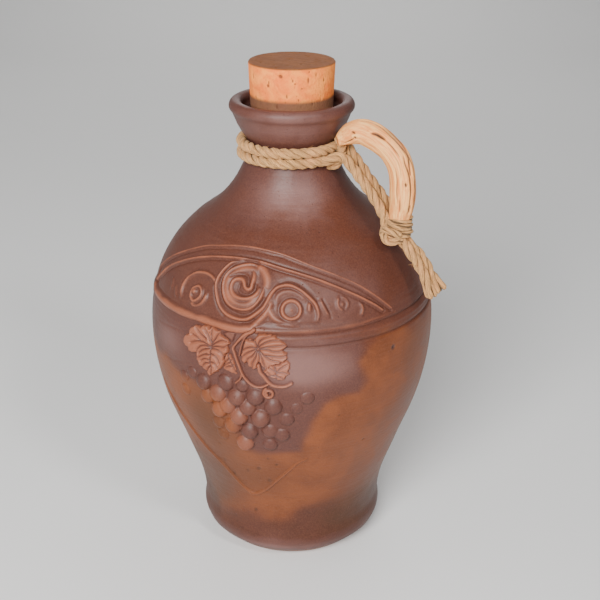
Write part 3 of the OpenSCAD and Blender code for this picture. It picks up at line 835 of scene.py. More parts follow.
def make_tendril():
    line = wall_line(TENDRIL)
    curl = spiral(CURL_AT, 2.35, 1.0, -30, -1.3, 0.4)

    def height(p, d, z):
        gap, along = distance_to_line(p, line)
        lift = np.maximum(bead_height(gap, 1.0 - 0.2 * along, 1.5, 0.5),
                          bead_height(distance_to_line(p, curl)[0], 0.8, 1.4, 0.4))
        # The tone follows the lift: paler on top as painted highlight over the tendril's own warmer colour,
        # darker at its foot as painted shade.
        return lift, lift

    relief_patch("tendril_clay", ["tendril"], (4.4, 20.9), (97, 115.6), 0.24, height)


def make_grapes():
    """The grapes as balls that overlap on a thin bed."""
    def height(p, d, z):
        total = np.full(len(p), -0.6)
        shade = np.zeros(len(p))
        for direction, level, radius, rise, warm in GRAPES:
            gap = away_from(p, (direction, level))
            ball = 1.2 * rise * np.sqrt(np.maximum(1 - (gap / radius) ** 2, 0)) * (1 + 0.09 * (level - z))
            ball = ball - 0.7 * smoothstep(radius - 0.05, radius + 0.8, gap)
            shade = np.where(ball > total, warm, shade)
            total = np.maximum(total, ball)
        bed = 0.25 * smoothstep(17, 12, np.hypot((d - 1) * 0.95, (z - 89) * 0.9)) - 0.1
        shade = np.where(total > bed, shade, 0.1)
        return np.maximum(total, np.where(bed > 0, bed, -0.6)), shade

    relief_patch("grape_bunch_clay", ["grape_bunch"], (-31.5, 29.5), (67.5, 108.5), 0.34, height)


def make_ridge():
    line = wall_line(RIDGE, 1.5)

    def height(p, d, z):
        gap, along = distance_to_line(p, line)
        fade = smoothstep(0, 0.12, along) * smoothstep(1.0, 0.86, along)
        lift = bead_height(gap, 0.85, 0.2 + 0.45 * fade, 0.8)
        # The tone follows the lift: paler on top as painted highlight, darker at its foot as painted shade.
        return lift, 0.1 + 0.9 * lift

    relief_patch("shield_ridge_clay", ["shield_ridge"], (-52, 28), (35.5, 88), 0.45, height)


# ---------------------------------------------------------------- rope

def rope_strands(path, up, diameter, lay, strands=3, closed=False, seed=1, fray=0.0, start=0.0):
    """Twisted strands round a path; over its last fray millimetres they open into loose bundles."""
    _, u, v = frames(path, up, closed)
    step = np.linalg.norm(np.diff(path, axis=0), axis=1)
    gone = np.concatenate([[0], np.cumsum(step)])
    total = gone[-1] + (np.linalg.norm(path[0] - path[-1]) if closed else 0)
    turns = round(total / lay) if closed else total / lay
    offset, thick = 0.262 * diameter, 0.262 * diameter
    if strands == 2:
        offset, thick = 0.24 * diameter, 0.285 * diameter
    rng = np.random.default_rng(seed)
    loose = smoothstep(total - fray, total, gone) if fray else np.zeros(len(path))
    twist = np.concatenate([[0], np.cumsum(step * (1 - 0.9 * smoothstep(0, 0.5, loose[1:])))])
    parts = []
    for s in range(strands):
        wander = 0.12 * np.sin(gone / total * TAU * rng.integers(3, 6) + rng.uniform(0, TAU))
        a = TAU * (turns * twist / total + s / strands) + start + wander
        out = np.cos(a)[:, None] * u + np.sin(a)[:, None] * v
        line = path + out * (offset * (1 + 0.55 * loose ** 1.5))[:, None]
        along = unit(np.roll(line, -1, axis=0) - np.roll(line, 1, axis=0)) if closed else unit(
            np.gradient(line, axis=0))
        out = unit(out - (out * along).sum(1)[:, None] * along)
        side = np.cross(along, out)
        sides = 22
        angle = np.linspace(0, TAU, sides, endpoint=False)[None, :]
        swirl = round(total / 9) * TAU * gone / total if closed else gone * TAU / 9
        yarn = np.cos(7 * angle + swirl[:, None]) * 0.055 + np.cos(13 * angle - 2 * swirl[:, None]) * 0.025
        swell = 1 + 0.05 * np.sin(TAU * round(total / 7) * gone / total + rng.uniform(0, TAU))
        radius = thick * (swell[:, None] + yarn) * (1 + 0.06 * loose[:, None])
        if fray:
            radius = radius * np.sqrt(np.clip((total - gone) / 1.3 + 0.1, 0, 1))[:, None]
        points, faces, grain = tube(line, out, side, radius, sides, closed)
        away = np.linalg.norm(points.reshape(len(path), sides, 3) - path[:, None], axis=-1) / diameter
        # Painted shade between strands: 1 in the crease, 0 on the strand's crown.
        grain[:, 3] = smoothstep(0.46, 0.2, away).ravel()
        parts.append((points, faces, grain))
    return joined(parts)


def stray_fibres(path, diameter, count, seed, closed=False):
    """Short, fine hairs that stand off a rope."""
    rng = np.random.default_rng(seed)
    tangent, u, v = frames(path, (0, 0.3, 1), closed)
    parts = []
    for _ in range(count):
        i = int(rng.integers(2, len(path) - 3))
        a = rng.uniform(0, TAU)
        out = math.cos(a) * u[i] + math.sin(a) * v[i]
        lean = unit(tangent[i] * rng.choice([-1, 1]) * rng.uniform(0.8, 2.4) + out
                    + rng.normal(size=3) * 0.35)
        bend = np.cross(lean, rng.normal(size=3)) * rng.uniform(0.1, 0.5)
        length = rng.uniform(1.2, 3.4)
        t = np.linspace(0, 1, 6)[:, None]
        line = path[i] + out * diameter * 0.44 + lean * length * t + bend * length * 0.5 * t ** 2
        _, a1, a2 = frames(line, out + 0.01)
        radius = np.linspace(0.075, 0.03, 6)[:, None]
        parts.append(tube(line, a1, a2, radius, 4))
    return joined(parts)


def rope_piece(name, path, lay, nodes, body="handle", diameter=ROPE_D, closed=False, seed=1, hairs=10,
               blend=None, up=(0, 0.2, 1), **more):
    """A twisted rope along a path, with a few stray hairs."""
    points, faces, grain = joined([rope_strands(path, up, diameter, lay, closed=closed, seed=seed, **more),
                                   stray_fibres(path, diameter, hairs, seed + 50, closed)])
    return mesh_piece(name, points, faces, body, nodes, "rope", grain, blend)


def neck_turn(heights):
    """One turn round the neck that starts at the handle, at heights given along it."""
    share = np.linspace(0, 1, 49)
    z = np.interp(share, np.linspace(0, 1, len(heights)), heights)
    z = np.convolve(np.pad(z, 4, "edge"), np.ones(9) / 9, "valid")
    return spline(turned(NECK_TURN_R, np.radians(np.linspace(90, 450, 49)), z), 0.5)[:-1]


NECK_TURN_R = 21.7
# The turns round the neck: name, heights along the turn, seed and twist at the start
NECK_TURNS = [("upper", (191.2, 191.5, 190.9, 190.7, 191, 191.4, 190.8, 190.9, 191.2), 11, 0.0),
              ("lower", (186.6, 186.2, 186.6, 186.4, 186.1, 186.3, 186.7, 186.5, 186.6), 12, 1.1)]
TAIL_FRONT = [(51.6, -2.2, 158.4), (54.2, -2.1, 157.2), (56.8, -2, 155.2), (59.2, -2, 152.6),
              (61.5, -2, 149.9), (64, -2.1, 147), (66.2, -2.2, 144), (68, -2.3, 140.6),
              (69.5, -2.4, 137.4), (70.9, -2.5, 133.6)]
TAIL_BACK = [(51.8, 2.2, 158.2), (54.4, 2.1, 156.2), (57.2, 2, 153.9), (60.2, 2, 151.9), (62.8, 2, 149.5),
             (65.1, 2, 146.7), (67, 2.1, 143.7), (69, 2.2, 140.8), (71.2, 2.3, 138.1), (73.2, 2.4, 135.4)]
CORD_FRONT = [(20.2, -9.2, 186.4), (23.6, -6.2, 187.6), (26.2, -3.8, 188.4), (28.9, -2.8, 186.9),
              (31.6, -2.5, 184.2), (34.4, -2.4, 181.2), (37.2, -2.3, 178.2), (40.3, -2.4, 174.9),
              (43.2, -2.5, 171.7), (45.8, -2.8, 168.3), (48, -3.1, 164.5), (49.6, -3.2, 160)]
CORD_BACK = [(21.6, 8.4, 190.6), (24.8, 5.6, 190.4), (27.4, 3.4, 189.2), (30.8, 2.4, 186.3), (33.9, 2.3, 183),
             (37.1, 2.3, 179.5), (39.8, 2.4, 176.5), (42.8, 2.6, 173.2), (45.4, 2.8, 169.9), (47.6, 3, 166.2),
             (50, 3.2, 160)]


# The knot's loops, each with its thickness
KNOT_LOOPS = [
    ([(56.4, -4.6, 159.3), (53.2, -6.0, 160.7), (50.2, -5.9, 161.1), (48.2, -4.6, 159.9), (48, -3.4, 158),
      (49.4, -3.2, 156.4), (51.4, -3.6, 155.8)], 3.1),
    ([(50.4, -2.6, 160.8), (49.2, -4.8, 159.2), (49.8, -6.1, 157.4), (51.6, -6.2, 156), (53.6, -5.5, 156.3),
      (55.2, -4.2, 157.8), (55.8, -2.4, 159)], 3.3),
    ([(47.2, 1.4, 161.2), (46.6, -0.8, 159.8), (46.9, -2.6, 158), (48.4, -3.2, 156.4),
      (50.4, -2.8, 155.6)], 3.0),
]


def make_tails():
    """The two loose rope ends under the lashing, each a free cord from end to end."""
    for name, route, seed in (("tail_front", TAIL_FRONT, 5), ("tail_back", TAIL_BACK, 6)):
        path = spline(route, 0.4)
        piece = rope_piece(name + "_rope", path, 19, [name], seed=seed, hairs=10, fray=9.0, start=0.7 * seed,
                           up=(0, -1, 0))


def make_neck_ropes():
    for name, heights, seed, start in NECK_TURNS:
        rope_piece(f"{name}_turn_rope", neck_turn(heights), 12.4, [f"neck_rope_{name}"], "collar",
                   closed=True, seed=seed, hairs=26, start=start)


def make_hitch():
    """The strand that crosses both turns at the handle and grips them."""
    route = [(19.6, -2.6, 183.4), (23, -3, 183.9), (25.2, -2.7, 186.4), (25.8, -2, 189.2), (25.6, -1, 191.6),
             (24.4, 0.2, 193.4), (21.6, 1.6, 194)]
    rope_piece("hitch_rope", spline(route, 0.4), 12, ["neck_hitch"], "collar", diameter=3.8, seed=14, hairs=6,
               up=(0, 1, 0))


def make_cords():
    """The two cords from the hitch to the lashing; each runs from the collar to the handle."""
    for name, route, seed in (("handle_cord_front", CORD_FRONT, 15), ("handle_cord_back", CORD_BACK, 16)):
        rope_piece(name + "_rope", spline(route, 0.4), 17, [name], None, seed=seed, hairs=9, up=(0, -1, 0),
                   start=seed, blend=("collar", "handle", (0.0245, 0, 0.1885), (0.032, 0, 0.187)))


def make_lashing():
    """Flattened turns that bind the branch's lower end, and the looped knot beside them."""
    t = np.linspace(0, 1, 420)
    a = np.radians(-150) + t * 5.3 * TAU
    z = 165.3 - 8.3 * t + 0.3 * np.sin(a * 0.5 + 1) + 0.35 * np.sin(a + 0.6)
    r = 5.1 + 0.22 * np.sin(a * 0.7) + 0.15 * t
    line = np.stack([52.9 + r * np.cos(a), r * np.sin(a) * 0.97, z], 1)
    line[:, 0] += np.where(np.cos(a) < 0, np.cos(a) * 0.9, 0)
    parts = [rope_strands(spline(line, 0.4), (0, 0, 1), 2.15, 15, strands=2, seed=31)]
    for i, (loop, thick) in enumerate(KNOT_LOOPS):
        parts.append(rope_strands(spline(loop, 0.4), (0, 1, 0.2), thick, 16, seed=33 + i, start=i))
    points, faces, grain = joined(parts)
    mesh_piece("lashing_and_knot", points, faces, "handle", ["handle_lashing", "lashing_knot"], "rope", grain)


# ---------------------------------------------------------------- branch

BRANCH = [  # centre x, y, z and half width
    (25.3, -4.7, 195.3, 2.0), (27.2, -3.4, 196.8, 3.2), (29.7, -2.1, 198.3, 4.4), (32.6, -1.0, 199.4, 5.0),
    (35.4, -0.3, 199.6, 5.2), (38.2, -0.1, 199.0, 5.3), (41.8, 0, 197.7, 5.3), (45.4, 0, 195.9, 5.3),
    (48.9, 0, 193.2, 5.25), (51.8, 0, 189.6, 5.3), (53.4, 0, 185.6, 5.3), (54.1, 0, 181, 5.3),
    (54.4, 0, 176, 5.3), (54.3, 0, 171.6, 5.0), (53.9, 0, 168, 4.6), (53.5, 0, 165, 4.2),
    (53.2, 0, 162, 3.8), (53.0, 0, 158.6, 3.5), (52.9, 0, 155.6, 3.0),
]
# Radius at which the cracks' degrees become lengths
CRACK_R = 4.8
# Cracks: places as distance from the free end and degrees round from -Y, then half width and depth
CRACKS = [
    ([(8.2, 354), (8.6, 358), (9.6, 366)], 0.32, 0.9), ([(8.9, 25), (9.8, 23)], 0.5, 0.9),
    ([(8.6, 26), (6.3, 36), (2.6, 50)], 0.26, 0.55),
    ([(17.1, 345), (18.9, 337), (20.7, 336), (23, 334)], 0.48, 1.1), ([(23, 334), (26.1, 334),
                                                                       (31, 332)], 0.26, 0.5),
    ([(11.6, 296), (13.9, 290), (16.6, 284), (20.7, 290), (23.4, 298), (27.2, 298), (29.9, 294), (32.5, 296),
      (34.8, 308), (37.5, 310)], 0.42, 0.9),
    ([(16, 246), (21.1, 250), (24.9, 258), (29.1, 272), (31.8, 282), (34.4, 284), (37.8, 284),
      (44, 286)], 0.4, 0.75),
    ([(31, 316), (33.3, 324), (35.2, 322), (39, 316), (43.2, 314), (46.9, 316), (50.7, 318)], 0.32, 0.6),
    ([(41.6, 336), (40, 336)], 0.36, 0.7), ([(34, 14), (39, 16), (43.5, 20), (48.8, 14)], 0.28, 0.4),
    ([(46.9, 4), (49.6, 2), (52.6, -2)], 0.28, 0.45), ([(49.2, 312), (52.6, 314)], 0.34, 0.6),
    ([(40, 292), (43.5, 290), (47.3, 294), (51.1, 294)], 0.4, 0.7), ([(26, 352), (33, 350), (38, 354)],
                                                                     0.24, 0.3),
    ([(10, 180), (24, 170), (40, 190)], 0.4, 0.7), ([(14, 120), (30, 128), (46, 118)], 0.34, 0.6),
    ([(20, 220), (36, 232), (50, 226)], 0.4, 0.7), ([(30, 80), (48, 90)], 0.3, 0.5), ([(12, 60),
                                                                                       (22, 66)], 0.3, 0.5),
]


def branch_skin(s, a, half):
    """Radius of the bark-less wood at distances along the branch and angles round it, and painted shade in
    its grain grooves and cracks.
    """
    stretched = np.stack([4.2 * np.cos(a), 4.2 * np.sin(a), s], -1) * np.array([1, 1, 0.1])
    radius = half * (1 + 0.03 * np.sin(2 * a + s / 13) + 0.02 * np.sin(3 * a - s / 17))
    groove = np.zeros_like(radius)
    for k, (size, depth) in enumerate(((2.6, 0.20), (1.3, 0.12), (0.7, 0.06))):
        n = ripple(stretched, size, 60 + k, 14)
        groove += depth * (1 - np.abs(np.clip(n, -1, 1)) * 1.6)
    outer = smoothstep(-0.1, 0.9, np.cos(a - math.radians(280)))
    rough = 0.4 + 0.9 * outer * smoothstep(8, 24, s)
    ridge = ripple(stretched * np.array([1, 1, 0.7]), 1.9, 66, 12) * outer * smoothstep(8, 26, s)
    radius = radius + 0.25 - rough * groove + 0.22 * ridge
    # Darker in the grain's grooves, and below in the cracks: painted shade.
    groove_and_crack_shade = 0.5 * rough * np.clip(groove - 0.3 * ridge, 0, 1)
    for crack, width, depth in CRACKS:
        line = spline(np.array(crack, float) * (1, math.radians(CRACK_R)), 0.8)
        turn = np.round((np.mean(line[:, 1]) - a * CRACK_R) / (TAU * CRACK_R)) * TAU * CRACK_R
        gap, share = distance_to_line(np.stack([s, a * CRACK_R + turn], -1).reshape(-1, 2), line)
        gap, share = gap.reshape(s.shape), share.reshape(s.shape)
        taper = 0.45 + 0.55 * np.sqrt(np.clip(4 * share * (1 - share), 0, 1))
        cut = soft_groove(gap, width * taper, taper)
        radius -= depth * cut
        groove_and_crack_shade = np.maximum(groove_and_crack_shade, cut * min(depth * 1.25, 1))
        radius += 0.2 * depth * np.exp(-((gap - 1.1) / 0.6) ** 2)
    return radius, groove_and_crack_shade


def make_branch():
    """The bent branch: a grained, cracked tube with a sawn tip, flat inside the lashing."""
    route = spline(BRANCH, 0.38)
    path = route[:, :3]
    tangent, u, v = frames(path, (0, -1, 0))
    sides, rounds = 132, 15
    s, a = np.meshgrid(gone_by(path), np.linspace(0, TAU, sides, endpoint=False), indexing="ij")
    radius, groove_and_crack_shade = branch_skin(s, a, route[:, 3:])
    tip = np.sqrt(np.clip(1 - ((0.9 - s) / 0.9) ** 2, 0.0, 1)) * (s < 0.9) + (s >= 0.9)
    radius *= 0.86 + 0.14 * tip
    slope = (np.cos(a) * 0.1 - np.sin(a) * 0.12) * 4.6 * smoothstep(7, 0, s)
    points, faces, grain = tube(path, u, v, radius, sides)
    points = (points.reshape(len(path), sides, 3) + slope[..., None] * tangent[:, None]).reshape(-1, 3)
    faces = faces[:-2]
    ring = points[:sides]
    centre = ring.mean(0)
    rows = []
    for share in np.linspace(0.94, 0.06, rounds):
        level = centre + (ring - centre) * share
        saw = 0.12 * ripple(level * np.array([1, 3, 3]), 2.2, 71) + 0.25 * (1 - share)
        rows.append(level + tangent[0] * saw[:, None])
    base = len(points)
    extra = np.vstack(rows + [centre[None, :] + tangent[0] * 0.3])
    points = np.vstack([points, extra])
    starts = [0] + [base + i * sides for i in range(rounds)]
    around = [(k, (k + 1) % sides) for k in range(sides)]
    for first, second in zip(starts, starts[1:]):
        faces += [(first + m, first + k, second + k, second + m) for k, m in around]
    faces += [(starts[-1] + m, starts[-1] + k, len(points) - 1) for k, m in around]
    faces.append(range((len(path) - 1) * sides, len(path) * sides))
    tone = np.concatenate([groove_and_crack_shade.ravel(), np.full(len(extra), 0.35)])
    grain = np.vstack([grain[:, :3], np.repeat([[0.0, 0.0, -3.0]], len(extra), 0) + extra * 0.35])
    mesh_piece("branch_wood", points, faces, "handle", ["handle_branch"], "branch_wood", grain, tone=tone)


# ---------------------------------------------------------------- cork

# Radii of the cork at its lower end, where it leaves the mouth, and at its top
CORK_LOW_R, CORK_WAIST_R, CORK_TOP_R = 16.2, 17.62, 18.45
CORK_LOW, CORK_WAIST_Z, CORK_HIGH = 192.0, 205, 225.4
# Larger pits on the side: direction from the camera's, height, half width and half height
CORK_PITS = [(-14.8, 222.2, 0.95, 0.85), (-33.1, 217.9, 0.7, 0.8), (-31.5, 219.3, 0.3, 0.9),
             (-62, 220.6, 0.45, 1.5), (22.1, 220.4, 0.42, 1.5), (-20.4, 209.4, 0.42, 1.1),
             (-6.7, 214.1, 0.28, 1.3), (47, 219.8, 0.42, 0.9), (23, 224, 0.4, 0.5),
             (13.4, 217.3, 0.4, 0.35), (1.2, 220.6, 0.3, 0.9), (4.5, 219.3, 0.5, 0.3),
             (-57, 212, 0.35, 0.9), (29, 210.4, 0.35, 0.9), (33, 222.6, 0.3, 1.1), (9, 212.5, 0.3, 0.7),
             (130, 216, 0.8, 1.2), (200, 219, 0.5, 1.6), (250, 213, 0.7, 0.7), (165, 222, 0.4, 1.1)]


def cork_outline():
    """The cork's outline from the middle of its lower end to the middle of its top."""
    edge = 0.7
    high = CORK_HIGH - edge
    shaft = CORK_HIGH - CORK_WAIST_Z
    side = [(CORK_WAIST_R + (CORK_TOP_R - CORK_WAIST_R) * (z - CORK_WAIST_Z) / shaft, z)
            for z in np.arange(CORK_WAIST_Z, high, 0.33)]
    lower = [(0.0, CORK_LOW), (8, CORK_LOW), (CORK_LOW_R - 0.6, CORK_LOW), (CORK_LOW_R, CORK_LOW + 0.6),
             (16.6, 198.8), (17.2, 201), (17.5, 203.5)]
    corner = [(CORK_TOP_R - edge + edge * math.sin(t), high + edge * math.cos(t))
              for t in np.linspace(math.pi / 2, 0, 6)]
    top = [(r, CORK_HIGH) for r in np.arange(CORK_TOP_R - edge - 0.3, 0.2, -0.34)]
    return np.array(lower + side + corner + top + [(0.0, CORK_HIGH)])


def make_cork():
    """The cork, with pits on its side and shorter ones on its sawn top."""
    rng = np.random.default_rng(81)
    line = cork_outline()
    rows, sides = len(line), 320
    a = np.linspace(0, TAU, sides, endpoint=False)

    def rings(radius, z):
        return np.stack(np.broadcast_arrays(radius * np.cos(a), radius * np.sin(a), z), -1).reshape(-1, 3)

    flat = rings(line[:, :1], line[:, 1:])
    tangent = unit(np.gradient(line, axis=0))
    out = rings(tangent[:, 1:2], -tangent[:, :1])
    out[-sides:] = (0, 0, 1)
    lift = 0.05 * ripple(flat, 3.2, 82) + 0.035 * ripple(flat, 1.3, 83)
    tone = np.zeros(len(flat))
    pits = [(math.radians(turn + CAMERA_DIR - 90), z, wide, tall, 1.0) for turn, z, wide, tall in CORK_PITS]
    for _ in range(150):
        turn, z, size = rng.uniform(0, TAU), rng.uniform(206, CORK_HIGH - 0.6), rng.uniform(0.2, 0.42)
        pits.append((turn, z, size, size * rng.uniform(1, 3.2), rng.uniform(0.25, 0.7)))
    for turn, z, wide, tall, share in pits:
        r = np.interp(z, (CORK_WAIST_Z, CORK_HIGH), (CORK_WAIST_R, CORK_TOP_R))
        gap = flat - np.array([r * math.cos(turn), r * math.sin(turn), z])
        across = np.hypot(gap[:, 0], gap[:, 1])
        near = share * np.exp(-((across / wide) ** 2 + (gap[:, 2] / tall) ** 2) ** 1.5)
        lift -= 0.9 * wide * near
        tone = np.maximum(tone, near)
    for _ in range(45):
        turn, r = rng.uniform(0, TAU), CORK_TOP_R * math.sqrt(rng.uniform(0, 0.92))
        size = rng.uniform(0.2, 0.42)
        gap = flat - np.array([r * math.cos(turn), r * math.sin(turn), CORK_HIGH])
        long_way = np.array([math.cos(turn * 3.1), math.sin(turn * 3.1), 0])
        near = np.exp(-((np.linalg.norm(gap, axis=1) ** 2 - 0.6 * (gap @ long_way) ** 2) / size ** 2))
        lift -= 0.75 * size * near
        tone = np.maximum(tone, near)
    lift = np.where(flat[:, 2] < 203, 0, np.minimum(lift, 0.0))
    quads = grid_faces(rows, sides)
    faces = [(0, quad[2], quad[3]) for quad in quads[:sides]] + quads[sides:-sides]
    faces += [(quad[0], quad[1], (rows - 1) * sides) for quad in quads[-sides:]]
    points, faces, used = used_only(flat + out * lift[:, None], faces)
    mesh_piece("cork", points, faces, "stopper", ["cork_stopper"], "cork", tone=tone[used])


# ---------------------------------------------------------------- materials

class Graph:
    """Short names for the shader nodes that the materials use."""

    def __init__(self, name, **fixed):
        self.material = bpy.data.materials.new(name)
        self.material.use_nodes = True
        self.tree = self.material.node_tree
        self.shader = self.tree.nodes["Principled BSDF"]
        for socket, value in fixed.items():
            self.shader.inputs[socket.replace("_", " ")].default_value = value

    def node(self, kind, sockets, **settings):
        """A node with values or links on its sockets, by name or number."""
        made = self.tree.nodes.new(kind)
        for key, value in settings.items():
            setattr(made, key, value)
        for key, value in sockets.items():
            if isinstance(value, bpy.types.NodeSocket):
                self.tree.links.new(value, made.inputs[key])
            else:
                made.inputs[key].default_value = value
        return made

    def place(self):
        return self.node("ShaderNodeTexCoord", {}).outputs["Object"]

    def attribute(self, name, output="Fac"):
        return self.node("ShaderNodeAttribute", {}, attribute_name=name).outputs[output]

    def stretch(self, vector, scale):
        return self.node("ShaderNodeMapping", {"Vector": vector, "Scale": scale}).outputs[0]

    def noise(self, vector, scale, detail, rough=0.5, bend=0.0):
        sockets = {"Vector": vector, "Scale": scale, "Detail": detail, "Roughness": rough, "Distortion": bend}
        return self.node("ShaderNodeTexNoise", sockets).outputs["Fac"]

    def cells(self, vector, scale):
        return self.node("ShaderNodeTexVoronoi", {"Vector": vector, "Scale": scale}).outputs["Distance"]

    def math(self, how, a, b):
        return self.node("ShaderNodeMath", {0: a, 1: b}, operation=how).outputs[0]

    def ramp(self, value, low, high, to_low=0.0, to_high=1.0):
        sockets = {"Value": value, "From Min": low, "From Max": high, "To Min": to_low, "To Max": to_high}
        return self.node("ShaderNodeMapRange", sockets, interpolation_type="SMOOTHSTEP").outputs[0]

    def mix(self, share, a, b):
        return self.node("ShaderNodeMix", {0: share, 6: a, 7: b}, data_type="RGBA").outputs[2]

    def layers(self, base, *rows):
        """Colours laid over a base; a row is a value, its range, the most it covers and the colour."""
        for value, low, high, share, paint in rows:
            base = self.mix(self.ramp(value, low, high, 0.0, share), base, paint)
        return base

    def skin(self, *rows):
        """A normal from stacked bumps; a row is a height, its distance in metres and its strength."""
        under = {}
        for height, distance, strength in rows:
            sockets = {"Height": height, "Distance": distance, "Strength": strength, **under}
            under = {"Normal": self.node("ShaderNodeBump", sockets).outputs[0]}
        return under["Normal"]

    def wire(self, **outputs):
        for key, value in outputs.items():
            self.tree.links.new(value, self.shader.inputs[key.replace("_", " ")])
        return self.material


def colour(red, green, blue):
    """A linear colour from 0..255 sRGB numbers."""
    def lin(c):
        c /= 255
        return c / 12.92 if c <= 0.04045 else ((c + 0.055) / 1.055) ** 2.4
    return (lin(red), lin(green), lin(blue), 1.0)


CLAY, CLAY_WARM = colour(78, 40, 27), colour(90, 46, 30)
ORANGE, ORANGE_PALE = colour(98, 50, 22), colour(120, 64, 32)
# The paler smoky colour paints sheen as well as paler patches.
SMOKE, SMOKE_PALE_SHEEN = colour(76, 44, 38), colour(112, 80, 75)
FOOT, FOOT_PALE = colour(60, 31, 20), colour(72, 38, 28)
UMBER = colour(62, 36, 17)
# Raised relief is paler, its own warmer colour with painted highlight; grooves are darker as painted shade.
RAISED_TONE_AND_HIGHLIGHT, GROOVE_SHADE = colour(158, 92, 64), colour(72, 38, 29)


def clay_material(name, raised):
    """Fired earthenware with a satin skin: smoky clouds with painted sheen, fine specks, paler on raised
    parts as painted highlight over their own warmer colour, and darker in grooves and pits as painted shade.
    """
    g = Graph(name, IOR=1.45, Specular_IOR_Level=0.32)
    place = g.place()
    drift = g.noise(place, 55, 5, 0.62, 0.5)
    shift = g.math("MULTIPLY", g.math("SUBTRACT", drift, 0.5), 0.7)
    base = g.layers(CLAY, (g.noise(place, 22, 4, 0.6, 0.6), 0.35, 0.7, 0.6, CLAY_WARM))
    # Where the paler smoky colour goes: painted sheen from the paler blots, and random paler patches.
    pale_and_sheen_mask = g.ramp(g.math("ADD", g.attribute("pale"), shift), 0.0, 1.0)
    patchy = g.ramp(drift, 0.35, 0.7)
    for field, tint, paler, where, share in (("orange", ORANGE, ORANGE_PALE, patchy, 0.95),
                                             ("foot", FOOT, FOOT_PALE, patchy, 0.85),
                                             ("smoke", SMOKE, SMOKE_PALE_SHEEN, pale_and_sheen_mask, 0.95),
                                             ("umber", UMBER, UMBER, patchy, 0.7)):
        here = g.math("ADD", g.attribute(field), shift)
        base = g.layers(base, (here, 0.05, 0.95, share, g.mix(where, tint, paler)))
    proud = g.attribute("proud")
    # Tone by lift: painted highlight on raised parts, painted shade in grooves, pits and creases.
    base = g.layers(base, (proud, 0.35, 1.5, 0.6 if raised else 0.4, RAISED_TONE_AND_HIGHLIGHT), (proud, 0.0, -0.55, 0.6, GROOVE_SHADE))
    dots = g.math("MULTIPLY", g.ramp(g.cells(place, 620), 0.20, 0.08), g.ramp(g.noise(place, 300, 2),
                                                                              0.56, 0.66))
    base = g.mix(g.math("MULTIPLY", dots, 0.6), base, colour(58, 30, 22))
    if not raised:
        base = g.mix(g.attribute("bare"), base, colour(58, 48, 48))
    grit = g.noise(place, 1500, 3, 0.6)
    base = g.layers(base, (grit, 0.3, 0.75, 0.1, colour(170, 112, 84)))
    rough = g.math("ADD", g.ramp(drift, 0.3, 0.8, 0.0, 0.14), g.ramp(grit, 0.3, 0.7, 0.38, 0.44))
    bumps = [(g.noise(place, 900, 4, 0.6), 0.00022, 0.35), (g.noise(place, 170, 3), 0.0006, 0.3)]
    if not raised:
        turning_marks = g.noise(g.stretch(place, (8.0, 8.0, 900.0)), 1.0, 2, 0.6)
        bumps.append((turning_marks, 0.0003, 0.25))
    return g.wire(Base_Color=base, Roughness=rough, Normal=g.skin(*bumps, (dots, -0.0004, 0.6)))


def rope_material():
    g = Graph("jute_rope", IOR=1.4, Sheen_Weight=0.35, Sheen_Roughness=0.5, Sheen_Tint=colour(240, 215, 170))
    grain = g.attribute("grain", "Vector")
    fibre = g.noise(g.stretch(grain, (2.6, 2.6, 0.35)), 1.0, 5, 0.65, 0.4)
    fine = g.noise(g.stretch(grain, (6.0, 6.0, 0.7)), 1.0, 4, 0.6)
    base = g.mix(g.ramp(fibre, 0.3, 0.72), colour(138, 94, 52), colour(222, 166, 104))
    base = g.layers(base,
                    (g.noise(g.place(), 130, 3, 0.6), 0.45, 0.75, 0.45, colour(214, 146, 94)),
                    (fine, 0.62, 0.8, 0.6, colour(112, 72, 38)),
                    (fine, 0.4, 0.22, 0.5, colour(240, 200, 142)),
                    # painted shade in the creases between strands
                    (g.attribute("crease"), 0.05, 0.75, 0.92, colour(70, 43, 22)))
    skin = g.skin((fibre, 0.0007, 0.7), (fine, 0.0004, 0.6))
    return g.wire(Base_Color=base, Roughness=g.ramp(fine, 0.3, 0.7, 0.62, 0.85), Normal=skin)


def branch_material():
    g = Graph("bare_branch", IOR=1.45)
    grain = g.attribute("grain", "Vector")
    streak = g.noise(g.stretch(grain, (1.1, 1.1, 0.09)), 1.0, 5, 0.6, 0.5)
    fine = g.noise(g.stretch(grain, (4.5, 4.5, 0.3)), 1.0, 5, 0.6, 0.3)
    groove_and_crack_shade = g.attribute("tone")
    base = g.mix(g.ramp(streak, 0.32, 0.7), colour(228, 134, 64), colour(255, 192, 116))
    base = g.layers(base,
                    (fine, 0.55, 0.75, 0.5, colour(196, 112, 62)),
                    (streak, 0.68, 0.8, 0.35, colour(244, 164, 122)),
                    # Darker in grain grooves and cracks: painted shade
                    (groove_and_crack_shade, 0.05, 0.6, 0.9, colour(96, 56, 32)),
                    (groove_and_crack_shade, 0.6, 1.0, 0.9, colour(40, 22, 14)))
    skin = g.skin((streak, 0.0008, 0.5), (fine, 0.0004, 0.5))
    return g.wire(Base_Color=base, Roughness=g.ramp(fine, 0.3, 0.7, 0.5, 0.68), Normal=skin)


